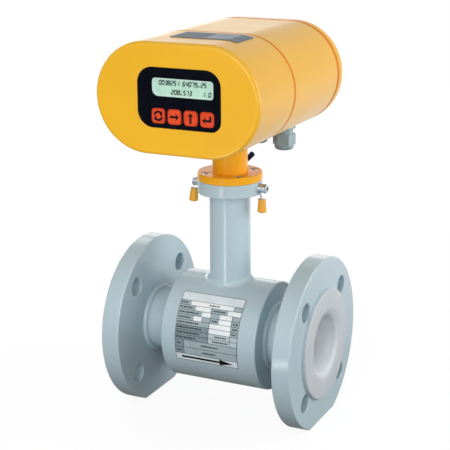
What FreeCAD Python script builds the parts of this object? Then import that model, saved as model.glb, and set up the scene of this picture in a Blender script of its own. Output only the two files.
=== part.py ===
"""Flanged electromagnetic flow meter, DN 50, with a compact converter on its neck.

Millimetres. The origin is on the pipe axis, under the neck. +X is the flow direction, -Y the display side,
+Z up. Each sub-part is one node and is written to parts/NODE.step.
"""
import FreeCAD, Part
import math
import os

Vector = FreeCAD.Vector
X, Y, Z = Vector(1, 0, 0), Vector(0, 1, 0), Vector(0, 0, 1)

# ---- Driving dimensions: sensor ----
LENGTH_OVER_LINER = 200.0      # lay length, over both liner faces
FLANGE_OD = 165.0              # DN 50, PN 16
FLANGE_THICKNESS = 18.0
BOLT_CIRCLE = 125.0
BOLT_COUNT = 4
BOLT_HOLE_D = 18.0
BASE_HEIGHT = 77.0             # pipe axis above the flat that each flange stands on
FLANGE_EDGE = 1.5              # rounding of the flange's rims
HOLE_EDGE = 0.6
BORE_D = 50.0
LINER_WALL = 3.15
LINER_FLARE_D = 105.6
LINER_FLARE_THICKNESS = 3.5
LINER_ENTRY_RADIUS = 5.0
TUBE_WALL = 2.0
WELD_SIZE = 3.6
COIL_HOUSING_D = 104.8
COIL_HOUSING_LENGTH = 98.4
COIL_HOUSING_WALL = 3.0
END_PLATE_THICKNESS = 4.0
END_PLATE_RECESS = 1.0
ELECTRODE_HEAD_D = 8.0
ELECTRODE_STEM_D = 5.0
ELECTRODE_STEM_SHOWN = 4.85    # past its nut
ELECTRODE_NUT = 9.0            # across flats
ELECTRODE_NUT_HEIGHT = 4.0
BUSH_WALL = 2.0
BUSH_COLLAR = 2.0
BUSH_COLLAR_HEIGHT = 3.0
POLE_LENGTH = 38.0
POLE_WIDTH = 12.0
POLE_GAP = 0.3                 # between the tube and each pole core
COIL_BUILD = 11.0              # thickness of the winding round its pole core
COIL_HEIGHT = 8.0
COIL_GAP = 3.0                 # between the tube and each coil
COIL_FIT = 0.3
YOKE_GAP = 1.9                 # between the yoke and the housing's wall
YOKE_THICKNESS = 2.5
YOKE_WIDTH = 30.0
CONNECTOR_SIZE = (18.0, 12.0)
CONNECTOR_SHOWN = 3.0          # above the top of the coil housing
NAMEPLATE_LEFT = -33.5
NAMEPLATE_WIDTH = 65.0
NAMEPLATE_ANGLES = (-21.0, 54.5)   # from the front's horizontal, degrees
NAMEPLATE_THICKNESS = 0.5
ADHESIVE = 0.1                 # under the nameplate and the top label

# ---- Driving dimensions: neck ----
NECK_TUBE_D = 39.1
NECK_TUBE_WALL = 2.5
NECK_WELD = 6.5                # concave weld round the foot of the neck
NECK_TOP = 137.15
NECK_FLANGE_D = 61.4
NECK_FLANGE_THICKNESS = 12.6
NECK_FLANGE_BORE_D = 28.0
NECK_GASKET_D = (32.6, 38.6)
NECK_GASKET_THICKNESS = 1.2
NECK_SCREW_CIRCLE = 47.2
NECK_SCREW_COUNT = 4
CONVERTER_FLANGE_THICKNESS = 7.2
CONVERTER_NECK_D = 33.4
CONVERTER_NECK_BORE_D = 25.0
SPIGOT_D = 30.0
SPIGOT_FIT = 0.05              # radial
LOCK_RING_D = 38.0
LOCK_RING_THICKNESS = 4.0
SCREW_D = 5.0                  # M5 throughout the neck and covers
SCREW_HEAD_D = 8.5
LOW_HEAD = 3.5
SCREW_SOCKET = 4.0             # across flats
SCREW_FIT = 0.05               # radial clearance of a screw in its hole
EARTH_HEAD = 5.0
NECK_TAP_DEPTH = 11.0
NECK_SCREW_LENGTH = 12.0
HEAD_SUNK = 0.5                # below the face that a head is let into
HEAD_HOLE_FIT = 0.45           # radial clearance round a sunk head
THROUGH_FIT = 0.25             # radial clearance of a screw in a plain hole
WASHER_D = 10.0
WASHER_THICKNESS = 1.0
SPRING_WASHER_THICKNESS = 1.2
SPRING_WASHER_PROUD = 0.4      # wider than the bolt's head
SPRING_WASHER_SLIT = 1.0
SPOT_FACE_D = 11.0
SPOT_FACE_DEPTH = 0.4
TERMINAL_PLATE = 0.8
TERMINAL_RING_D = 9.5
TERMINAL_BEND = 0.8            # from the ring's rim to the bend in its tongue
TONGUE_SHARE = 0.9             # width of a tongue, as a share of its barrel
TERMINAL_BARREL_D = 4.4
TERMINAL_BARREL_LENGTH = 9.0
SLEEVE_LENGTH = 12.8
SLEEVE_D = (6.9, 9.0)          # at the tongue and at the cable end
SLEEVE_SET_BACK = 0.6          # from the bend in the tongue
SLEEVE_END_EDGE = 1.2
SLEEVE_RIM = 1.2               # wall round the cable's entry
SLEEVE_DROP = (6.05, 9.55)     # top of the barrels below the earth bolts' axis, left and right
SLEEVE_OUT = (37.6, 33.0)      # from the neck's axis, left and right
SLEEVE_TILT = (5.5, 0.0)       # outwards, degrees
NECK_EARTH_X = 4.8             # earth screw at the back of the converter neck
NECK_EARTH_ABOVE = 4.5         # above the converter flange
NECK_EARTH_BOSS_D = 9.0
NECK_EARTH_BOSS_OUT = 1.8      # past the converter neck
NECK_EARTH_SCREW_D = 4.0
NECK_EARTH_SCREW_LENGTH = 5.0
NECK_EARTH_HEAD_D = 6.4
NECK_EARTH_HEAD = 2.6
NECK_TERMINAL_RING_D = 7.4
NECK_TERMINAL_BEND = 0.1
NECK_TERMINAL_REACH = 0.2      # from the ring's rim to the barrel
NECK_TERMINAL_STEP = 2.2       # barrel's axis behind the ring
NECK_BARREL_D = 3.0
NECK_BARREL_LENGTH = 6.0
NECK_SLEEVE_D = (5.1, 5.5)
NECK_SLEEVE_LENGTH = 8.6

# ---- Driving dimensions: converter ----
HOUSING_WIDTH = 157.4
HOUSING_HEIGHT = 97.9
HOUSING_BOTTOM = 192.65
FRONT_Y = -107.15
FRONT_SEAM_Y = -31.8
REAR_SEAM_Y = 74.1
REAR_Y = 86.6
WALL = 3.5
FRONT_EDGE = 3.5               # rounding of the front face's rim
REAR_EDGE = 3.0
SEAM_EDGE = 0.8
GASKET_THICKNESS = 1.0
GASKET_SET_BACK = 1.0
PARTITION_Y = 34.0
PARTITION_THICKNESS = 4.0
SCREW_INSET = 8.6              # of the tie and cover screws, from the housing's outline
TIE_SCREW_ANGLE = 69.0         # round each end of the housing, from the horizontal
TIE_BOSS_LENGTH = 18.0
TIE_REACH = 11.0               # thread engaged in the front shell
TAP_SPARE = 2.0                # depth of a tapped hole past its screw
COVER_SCREW_ANGLE = 32.5
COVER_REACH = 13.0
COVER_BOSS_D = 14.0
BOSS_D = 11.0
CABLE_HOLE_D = 14.0
CABLE_HOLE_UP = 14.0           # its centre, above the housing's floor
PANEL_OFFSET = (3.15, 1.3)     # from the housing's centre
PANEL_SIZE = (79.7, 52.3)
PANEL_CORNER = 14.5
PANEL_SMALL_CORNER = 9.5       # lower right
PANEL_RECESS = 0.8             # panel's face behind the housing's face
PANEL_THICKNESS = 1.4
PANEL_LIP = 0.7                # rounding of the pocket's rim
PANEL_FIT = 0.1
LEDGE = 2.2                    # width of the seat under the panel's edge
DISPLAY_OFFSET = (3.45, 9.2)   # from the panel's centre
DISPLAY_SIZE = (58.4, 15.8)
DISPLAY_CORNER = 2.8
DISPLAY_LARGE_CORNER = 6.0     # lower left
WINDOW_THICKNESS = 1.2
WINDOW_FIT = 0.05
MODULE_MARGIN = 2.0
MODULE_CORNER = 0.8
KEY_NAMES = ("key_cycle", "key_right", "key_up", "key_enter")
KEY_SIZE = 13.2
KEY_CORNER = 3.3
KEY_PITCH = 15.5
KEY_ROW_OFFSET = (3.45, -15.7)  # from the panel's centre
KEY_PROUD = 0.4
KEY_CLEARANCE = 0.3
KEY_TRAVEL = 0.5
KEY_EDGE = 0.3
KEY_LIP = 1.2
KEY_LIP_THICKNESS = 0.8
KEY_LIP_GAP = 0.2
KEY_STEM_D = 5.0
SWITCH_HEIGHT = 4.0
SWITCH_SIZE = 6.0
SWITCH_PLUNGER_D = 3.4
SWITCH_PLUNGER = 0.8
SWITCH_GAP = 0.1               # from a key pressed home to its switch
BOARD_THICKNESS = 1.6
BOARD_SCREW_D = 2.9
BOARD_SCREW_HEAD = (5.5, 2.4)  # diameter and height
BOARD_SCREW_LENGTH = 6.0
BOARD_HOLE_D = 3.2
BOARD_INSET = 5.0              # of every board's screws and posts, from its edges
DISPLAY_POST = 6.65
DISPLAY_POST_D = 7.0
DISPLAY_BOARD_SIZE = (98.0, 50.0)
MAIN_BOARD_SIZE = (76.0, 74.0)
MAIN_BOARD_STANDOFF = 10.0
STANDOFF_D = 6.0
TERMINAL_BOARD_SIZE = (76.0, 44.0)
TERMINAL_BOARD_UP = 8.4        # above the housing's centre
TERMINAL_POST = 6.0
TERMINAL_WAYS = 8
TERMINAL_PITCH = 7.5
TERMINAL_BLOCK_DEPTH = 14.0
TERMINAL_BLOCK_HEIGHT = 12.0
TERMINAL_BLOCK_SPREAD = 11.0   # of the two blocks, from the board's middle
TERMINAL_MOUTH = (4.5, 5.0, 5.0)
PLUG_SIZE = (24.0, 5.0, 8.0)
RIBBON_DOWN = 12.0             # below the panel's centre
RIBBON_WIDTH = 20.0
RIBBON_THICKNESS = 1.0
CABLE_PLUG_SIZE = (20.0, 5.0, 10.0)
TRANSFORMER_AT = (-21.0, 17.4)   # from the main board's centre
TRANSFORMER_CORE = (26.0, 22.0, 26.0)
TRANSFORMER_BOBBIN = (34.0, 14.0, 14.0)
PROCESSOR_AT = (19.0, 11.4)
PROCESSOR_SIZE = (14.0, 2.0, 14.0)
CAPACITOR_D = 12.0
CAPACITOR_HEIGHT = 18.0
CAPACITORS_AT = ((6.0, 28.4), (22.0, 28.4))
GLAND_Y = 60.0
GLAND_X = (-25.5, 2.0, 29.5)
GLAND_NECK_SHOWN = (0.5, 0.5, 4.9)   # how far each dome nut is screwed out
GLAND_THREAD_D = 16.0
GLAND_FIT = 0.1                # radial, of the thread in the housing's wall
GLAND_BORE_D = 10.4
GLAND_HEX = 19.2               # across flats
GLAND_HEX_TURN = 16.0
GLAND_BASE_HEIGHT = 3.5
GLAND_NUT_HEX_HEIGHT = 10.7
GLAND_NUT_CROWN = 7.0          # height of the cone that rounds the nut's upper corners
GLAND_NUT_CROWN_CUT = 0.6
GLAND_DOME_HEIGHT = 5.0
GLAND_DOME_END_D = 14.4
GLAND_MOUTH_DEPTH = 3.5
GLAND_NUT_BORE_D = 17.6
GLAND_MOUTH_D = 11.0
GLAND_SEAL_BORE_D = 7.0
GLAND_SEAL_LENGTH = 5.0
GLAND_LOCKNUT_THICKNESS = 3.0
GLAND_THREAD_SPARE = 2.0
GLAND_PAD_D = 24.4
CABLE_D = 6.0
CABLE_BEND = 9.0
LABEL_X = (-21.0, 43.5)
LABEL_Y = (-75.5, -41.5)
LABEL_THICKNESS = 0.5

# ---- Derived places ----
FLANGE_FACE = LENGTH_OVER_LINER / 2 - LINER_FLARE_THICKNESS
FLANGE_BACK = FLANGE_FACE - FLANGE_THICKNESS
TUBE_INNER_R = BORE_D / 2 + LINER_WALL
TUBE_OUTER_R = TUBE_INNER_R + TUBE_WALL
HOUSING_INNER_R = COIL_HOUSING_D / 2 - COIL_HOUSING_WALL
YOKE_RADIUS = HOUSING_INNER_R - YOKE_GAP - YOKE_THICKNESS
CONNECTOR_TOP = COIL_HOUSING_D / 2 + CONNECTOR_SHOWN
END_PLATE_OUTSIDE = COIL_HOUSING_LENGTH / 2 - END_PLATE_RECESS
NECK_FLANGE_TOP = NECK_TOP + NECK_FLANGE_THICKNESS
CONVERTER_FLANGE_TOP = NECK_FLANGE_TOP + CONVERTER_FLANGE_THICKNESS
EARTH_Z = NECK_TOP + NECK_FLANGE_THICKNESS / 2
EARTH_SEAT = NECK_FLANGE_D / 2 - SPOT_FACE_DEPTH
NECK_EARTH_Z = CONVERTER_FLANGE_TOP + NECK_EARTH_ABOVE
NECK_EARTH_SEAT_Y = CONVERTER_NECK_D / 2 + NECK_EARTH_BOSS_OUT
HOUSING_Z = HOUSING_BOTTOM + HOUSING_HEIGHT / 2
HOUSING_FLOOR = HOUSING_BOTTOM + WALL
HOUSING_END_SHIFT = (HOUSING_WIDTH - HOUSING_HEIGHT) / 2
PANEL_CENTRE = (PANEL_OFFSET[0], HOUSING_Z + PANEL_OFFSET[1])
DISPLAY_CENTRE = (PANEL_CENTRE[0] + DISPLAY_OFFSET[0], PANEL_CENTRE[1] + DISPLAY_OFFSET[1])
KEY_ROW = (PANEL_CENTRE[0] + KEY_ROW_OFFSET[0], PANEL_CENTRE[1] + KEY_ROW_OFFSET[1])
PANEL_FRONT = FRONT_Y + PANEL_RECESS
PANEL_BACK = PANEL_FRONT + PANEL_THICKNESS
FRONT_WALL_INSIDE = FRONT_Y + WALL
DISPLAY_BOARD_FRONT = FRONT_WALL_INSIDE + DISPLAY_POST
DISPLAY_BOARD_BACK = DISPLAY_BOARD_FRONT + BOARD_THICKNESS
SWITCH_TOP = DISPLAY_BOARD_FRONT - SWITCH_HEIGHT
MAIN_BOARD_BACK = PARTITION_Y - MAIN_BOARD_STANDOFF
MAIN_BOARD_FRONT = MAIN_BOARD_BACK - BOARD_THICKNESS
PARTITION_BACK = PARTITION_Y + PARTITION_THICKNESS
TERMINAL_BOARD_FRONT = PARTITION_BACK + TERMINAL_POST
FRONT_GASKET_Y = FRONT_SEAM_Y - GASKET_THICKNESS / 2
REAR_GASKET_Y = REAR_SEAM_Y - GASKET_THICKNESS / 2
CABLE_TURN_Z = HOUSING_FLOOR + LOCK_RING_THICKNESS + CABLE_D
CABLE_Z = CABLE_TURN_Z + CABLE_BEND
RIBBON_Z = PANEL_CENTRE[1] - RIBBON_DOWN
TERMINAL_BOARD_Z = HOUSING_Z + TERMINAL_BOARD_UP

parts = {}


# ---- Shape helpers ----
def rod(diameter, start, direction, length):
    return Part.makeCylinder(diameter / 2, length, start, direction)


def tube(outer_d, inner_d, start, direction, length):
    return rod(outer_d, start, direction, length).cut(rod(inner_d, start, direction, length))


def block(low, high):
    return Part.makeBox(high[0] - low[0], high[1] - low[1], high[2] - low[2], Vector(*low))


def revolve(points, axis):
    """Solid of revolution of a closed outline; a three-point tuple in the list is an arc's middle and end."""
    edges = []
    here = points[0]
    for item in points[1:] + [points[0]]:
        if isinstance(item, tuple):
            edges.append(Part.Arc(here, item[0], item[1]).toShape())
            here = item[1]
        elif (item - here).Length > 1e-9:
            edges.append(Part.LineSegment(here, item).toShape())
            here = item
    return Part.Face(Part.Wire(edges)).revolve(Vector(0, 0, 0), axis, 360)


def hexagon(across_flats, start, direction, length, turn=0.0):
    corner = across_flats / 2 / math.cos(math.radians(30))
    turns = [math.radians(60 * index + turn) for index in range(7)]
    outline = Part.makePolygon([Vector(corner * math.cos(angle), corner * math.sin(angle), 0) for angle in turns])
    prism = Part.Face(outline).extrude(Z * length)
    prism.Placement = FreeCAD.Placement(start, FreeCAD.Rotation(Z, direction))
    return prism


def rounded_rectangle(centre, size, radii, y_start, y_end):
    """Plate in the X-Z plane; radii are lower left, lower right, upper right, upper left."""
    left, right = centre[0] - size[0] / 2, centre[0] + size[0] / 2
    low, high = centre[1] - size[1] / 2, centre[1] + size[1] / 2
    corners = [(left, low, 180), (right, low, 270), (right, high, 0), (left, high, 90)]
    edges = []
    ends = []
    for (corner_x, corner_z, angle), radius in zip(corners, radii):
        centre_x = corner_x + (radius if corner_x == left else -radius)
        centre_z = corner_z + (radius if corner_z == low else -radius)
        points = [Vector(centre_x + radius * math.cos(math.radians(angle + step)), y_start,
                         centre_z + radius * math.sin(math.radians(angle + step))) for step in (0, 45, 90)]
        ends.append(points)
    for index, points in enumerate(ends):
        edges.append(Part.Arc(*points).toShape())
        edges.append(Part.LineSegment(points[2], ends[(index + 1) % 4][0]).toShape())
    return Part.Face(Part.Wire(edges)).extrude(Vector(0, y_end - y_start, 0))


def stadium(y_start, y_end, offset=0.0):
    """The converter housing's section, grown by offset, from y_start to y_end."""
    radius = HOUSING_HEIGHT / 2 + offset
    shift = HOUSING_END_SHIFT
    low, high = HOUSING_Z - radius, HOUSING_Z + radius
    bottom_left, bottom_right = Vector(-shift, y_start, low), Vector(shift, y_start, low)
    top_left, top_right = Vector(-shift, y_start, high), Vector(shift, y_start, high)
    outline = Part.Wire([Part.Arc(bottom_right, Vector(shift + radius, y_start, HOUSING_Z), top_right).toShape(),
                         Part.LineSegment(top_right, top_left).toShape(),
                         Part.Arc(top_left, Vector(-shift - radius, y_start, HOUSING_Z), bottom_left).toShape(),
                         Part.LineSegment(bottom_left, bottom_right).toShape()])
    return Part.Face(outline).extrude(Y * (y_end - y_start))


def edges_at_y(shape, y, offset):
    """The edges of the stadium outline, grown by offset, that lie in the plane at y."""
    half_height = HOUSING_HEIGHT / 2 + offset
    half_width = HOUSING_WIDTH / 2 + offset
    found = []
    for edge in shape.Edges:
        box = edge.BoundBox
        flat = abs(box.YMin - y) < 1e-4 and abs(box.YMax - y) < 1e-4
        on_line = box.ZLength < 1e-4 and abs(abs(box.ZMin - HOUSING_Z) - half_height) < 1e-3
        on_arc = abs(max(abs(box.XMin), abs(box.XMax)) - half_width) < 1e-3
        if flat and (on_line or on_arc):
            found.append(edge)
    return found


def corners_of(size, centre, inset):
    """Four places, as (x, z), inset from the corners of an upright plate."""
    return [(centre[0] + side * (size[0] / 2 - inset), centre[1] + level * (size[1] / 2 - inset))
            for side in (-1, 1) for level in (-1, 1)]


def round_the_ends(angle):
    """Four places, as (x, z), at this angle round the housing's two round ends."""
    radius = HOUSING_HEIGHT / 2 - SCREW_INSET
    out, up = radius * math.cos(math.radians(angle)), radius * math.sin(math.radians(angle))
    return [(side * (HOUSING_END_SHIFT + out), HOUSING_Z + level * up) for side in (-1, 1) for level in (-1, 1)]


def fuse(shapes):
    return shapes[0].multiFuse(shapes[1:]).removeSplitter()


def cut(shape, tools):
    return shape.cut(Part.makeCompound(tools))


def group(shapes):
    return Part.makeCompound(shapes)


def socket_screw(head_d, head_height, shank_d, shank_length, seat, direction):
    """Cap screw whose head stands on seat; direction points from the seat out through the head."""
    head = rod(head_d, seat, direction, head_height)
    rim = [edge for edge in head.Edges if edge.Closed and
           abs((edge.CenterOfMass - seat).dot(direction) - head_height) < 1e-6]
    head = head.makeChamfer(0.35, rim)
    shank = rod(shank_d, seat - direction * shank_length, direction, shank_length)
    socket = hexagon(SCREW_SOCKET * head_d / SCREW_HEAD_D, seat + direction * head_height * 0.45, direction,
                     head_height)
    return head.fuse(shank).cut(socket)


# ---- Sensor ----
def make_flange(side):
    """Slip-on flange with its weld bead, bolt holes and the flat that the meter stands on."""
    disc = rod(FLANGE_OD, Vector(FLANGE_BACK, 0, 0), X, FLANGE_THICKNESS)
    below = block((FLANGE_BACK - 1, -FLANGE_OD, -FLANGE_OD), (FLANGE_FACE + 1, FLANGE_OD, -BASE_HEIGHT))
    disc = disc.cut(below)
    rims = [edge for edge in disc.Edges if edge.BoundBox.XLength < 1e-6]
    disc = disc.makeFillet(FLANGE_EDGE, rims)
    holes = []
    for index in range(BOLT_COUNT):
        angle = math.radians(360 / BOLT_COUNT * (index + 0.5))
        place_y, place_z = BOLT_CIRCLE / 2 * math.cos(angle), BOLT_CIRCLE / 2 * math.sin(angle)
        holes.append(rod(BOLT_HOLE_D, Vector(FLANGE_BACK - 1, place_y, place_z), X, FLANGE_THICKNESS + 2))
    disc = cut(disc, holes)
    bolt_rims = [edge for edge in disc.Edges if edge.BoundBox.XLength < 1e-6 and edge.Closed and
                 abs(edge.Curve.Radius - BOLT_HOLE_D / 2) < 1e-6]
    disc = disc.makeChamfer(HOLE_EDGE, bolt_rims)
    bead = revolve([Vector(FLANGE_BACK, TUBE_OUTER_R, 0), Vector(FLANGE_BACK + 1, TUBE_OUTER_R, 0),
                    Vector(FLANGE_BACK + 1, TUBE_OUTER_R + WELD_SIZE, 0),
                    Vector(FLANGE_BACK, TUBE_OUTER_R + WELD_SIZE, 0),
                    (Vector(FLANGE_BACK - WELD_SIZE * 0.75, TUBE_OUTER_R + WELD_SIZE * 0.75, 0),
                     Vector(FLANGE_BACK - WELD_SIZE, TUBE_OUTER_R, 0))], X)
    flange = disc.fuse(bead).cut(rod(2 * TUBE_OUTER_R, Vector(0, 0, 0), X, LENGTH_OVER_LINER))
    if side < 0:
        flange = flange.mirror(Vector(0, 0, 0), X)
    return flange


def make_liner():
    """Fluoroplastic liner: a tube flared over both flange faces, with a rounded entry."""
    bore_r, face, flare_r = BORE_D / 2, LENGTH_OVER_LINER / 2, LINER_FLARE_D / 2
    entry, lip = LINER_ENTRY_RADIUS, 1.2
    diagonal = entry * (1 - math.sqrt(0.5))
    lip_diagonal = lip * (1 - math.sqrt(0.5))
    outline = [Vector(entry - face, bore_r, 0), Vector(face - entry, bore_r, 0),
               (Vector(face - diagonal, bore_r + diagonal, 0), Vector(face, bore_r + entry, 0)),
               Vector(face, flare_r - lip, 0),
               (Vector(face - lip_diagonal, flare_r - lip_diagonal, 0), Vector(face - lip, flare_r, 0)),
               Vector(FLANGE_FACE, flare_r, 0), Vector(FLANGE_FACE, TUBE_INNER_R, 0),
               Vector(-FLANGE_FACE, TUBE_INNER_R, 0), Vector(-FLANGE_FACE, flare_r, 0),
               Vector(lip - face, flare_r, 0),
               (Vector(lip_diagonal - face, flare_r - lip_diagonal, 0), Vector(-face, flare_r - lip, 0)),
               Vector(-face, bore_r + entry, 0),
               (Vector(diagonal - face, bore_r + diagonal, 0), Vector(entry - face, bore_r, 0))]
    liner = revolve(outline, X)
    return liner.cut(rod(ELECTRODE_HEAD_D, Vector(0, -TUBE_OUTER_R, 0), Y, 2 * TUBE_OUTER_R))


def make_electrodes():
    """Two electrodes on the horizontal diameter, each with its bush and nut."""
    bush_d = ELECTRODE_STEM_D + 2 * BUSH_WALL
    nut_seat = TUBE_OUTER_R + BUSH_COLLAR_HEIGHT
    reach = nut_seat + ELECTRODE_NUT_HEIGHT + ELECTRODE_STEM_SHOWN
    pipe_outside = rod(2 * TUBE_OUTER_R, X * -bush_d, X, 2 * bush_d)
    pipe_inside = rod(2 * TUBE_INNER_R, X * -bush_d, X, 2 * bush_d)
    electrodes, bushes, nuts = [], [], []
    for side in (-1, 1):
        out = Y * side
        head = rod(ELECTRODE_HEAD_D, out * (BORE_D / 2), out, LINER_WALL)
        stem = rod(ELECTRODE_STEM_D, out * (BORE_D / 2), out, reach - BORE_D / 2)
        electrodes.append(head.fuse(stem))
        sleeve = rod(bush_d, out * TUBE_INNER_R, out, nut_seat - TUBE_INNER_R)
        collar = rod(bush_d + 2 * BUSH_COLLAR, out * TUBE_OUTER_R, out, BUSH_COLLAR_HEIGHT)
        stem_hole = rod(ELECTRODE_STEM_D, out * (BORE_D / 2), out, reach)
        bushes.append(sleeve.fuse(collar.cut(pipe_outside)).cut(stem_hole).cut(pipe_inside))
        nuts.append(hexagon(ELECTRODE_NUT, out * nut_seat, out, ELECTRODE_NUT_HEIGHT).cut(stem_hole))
    parts["electrodes"] = group(electrodes)
    parts["electrode_bushes"] = group(bushes)
    parts["electrode_nuts"] = group(nuts)
    return bush_d


def make_coils():
    """Two field coils above and below the tube, on pole cores joined by a ring-shaped yoke."""
    cores = []
    floor = TUBE_OUTER_R + POLE_GAP
    coil_low = TUBE_OUTER_R + COIL_GAP
    for side, name in ((1, "coil_upper"), (-1, "coil_lower")):
        half_length, half_width = POLE_LENGTH / 2, POLE_WIDTH / 2
        core = block((-half_length, -half_width, 0), (half_length, half_width, YOKE_RADIUS + 1))
        core = core.cut(rod(2 * floor, Vector(-POLE_LENGTH, 0, 0), X, 2 * POLE_LENGTH))
        core = core.common(rod(2 * YOKE_RADIUS, Vector(-POLE_LENGTH, 0, 0), X, 2 * POLE_LENGTH))
        winding = rounded_rectangle((0, 0), (POLE_LENGTH + 2 * COIL_BUILD, POLE_WIDTH + 2 * COIL_BUILD),
                                    (COIL_BUILD,) * 4, 0, COIL_HEIGHT)
        hole = rounded_rectangle((0, 0), (POLE_LENGTH + 2 * COIL_FIT, POLE_WIDTH + 2 * COIL_FIT), (1.0,) * 4,
                                 0, COIL_HEIGHT)
        winding = winding.cut(hole)
        winding.rotate(Vector(0, 0, 0), X, 90)
        winding.translate(Z * coil_low)
        if side < 0:
            core = core.mirror(Vector(0, 0, 0), Z)
            winding = winding.mirror(Vector(0, 0, 0), Z)
        cores.append(core)
        parts[name] = winding
    parts["pole_cores"] = group(cores)
    parts["magnet_yoke"] = tube(2 * (YOKE_RADIUS + YOKE_THICKNESS), 2 * YOKE_RADIUS,
                                Vector(-YOKE_WIDTH / 2, 0, 0), X, YOKE_WIDTH)
    yoke_outer_r = YOKE_RADIUS + YOKE_THICKNESS
    half_length, half_width = CONNECTOR_SIZE[0] / 2, CONNECTOR_SIZE[1] / 2
    seat = math.sqrt(yoke_outer_r ** 2 - half_width ** 2)
    connector = block((-half_length, -half_width, seat), (half_length, half_width, CONNECTOR_TOP))
    parts["coil_connector"] = connector.cut(rod(2 * yoke_outer_r, X * -YOKE_WIDTH, X, 2 * YOKE_WIDTH))


def make_sensor():
    parts["flange_inlet"] = make_flange(-1)
    parts["flange_outlet"] = make_flange(1)
    parts["liner"] = make_liner()
    bush_d = make_electrodes()
    make_coils()

    full = 2 * FLANGE_FACE
    pipe = tube(2 * TUBE_OUTER_R, 2 * TUBE_INNER_R, Vector(-FLANGE_FACE, 0, 0), X, full)
    parts["measuring_tube"] = pipe.cut(rod(bush_d, Vector(0, -TUBE_OUTER_R - 1, 0), Y, 2 * TUBE_OUTER_R + 2))

    half = COIL_HOUSING_LENGTH / 2
    shell = rod(COIL_HOUSING_D, Vector(-half, 0, 0), X, COIL_HOUSING_LENGTH)
    shell = shell.makeFillet(1.4, [edge for edge in shell.Edges if edge.BoundBox.XLength < 1e-6])
    shell = shell.cut(rod(2 * HOUSING_INNER_R, Vector(-half, 0, 0), X, COIL_HOUSING_LENGTH))
    neck_bore_d = NECK_TUBE_D - 2 * NECK_TUBE_WALL
    parts["coil_housing"] = shell.cut(rod(neck_bore_d, Vector(0, 0, 0), Z, COIL_HOUSING_D))

    for name, side in (("end_plate_inlet", -1), ("end_plate_outlet", 1)):
        inside = END_PLATE_OUTSIDE - END_PLATE_THICKNESS
        plate = revolve([Vector(inside, TUBE_OUTER_R, 0), Vector(inside, HOUSING_INNER_R, 0),
                         Vector(END_PLATE_OUTSIDE, HOUSING_INNER_R, 0),
                         Vector(END_PLATE_OUTSIDE, TUBE_OUTER_R + WELD_SIZE, 0),
                         (Vector(END_PLATE_OUTSIDE + WELD_SIZE * 0.75, TUBE_OUTER_R + WELD_SIZE * 0.75, 0),
                          Vector(END_PLATE_OUTSIDE + WELD_SIZE, TUBE_OUTER_R, 0))], X)
        parts[name] = plate if side > 0 else plate.mirror(Vector(0, 0, 0), X)

    low, high = NAMEPLATE_ANGLES
    arcs = []
    under = COIL_HOUSING_D / 2 + ADHESIVE
    for radius, turns in ((under, (low, (low + high) / 2, high)),
                          (under + NAMEPLATE_THICKNESS, (high, (low + high) / 2, low))):
        arcs.append([Vector(NAMEPLATE_LEFT, -radius * math.cos(math.radians(turn)),
                            radius * math.sin(math.radians(turn))) for turn in turns])
    outline = Part.Wire([Part.Arc(*arcs[0]).toShape(), Part.LineSegment(arcs[0][2], arcs[1][0]).toShape(),
                         Part.Arc(*arcs[1]).toShape(), Part.LineSegment(arcs[1][2], arcs[0][0]).toShape()])
    sheet = Part.Face(outline).extrude(X * NAMEPLATE_WIDTH)
    parts["nameplate"] = sheet


# ---- Neck ----
def screw_places():
    places = []
    for index in range(NECK_SCREW_COUNT):
        angle = math.radians(360 / NECK_SCREW_COUNT * (index + 0.5))
        places.append(Vector(math.cos(angle), math.sin(angle), 0) * (NECK_SCREW_CIRCLE / 2))
    return places


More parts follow.
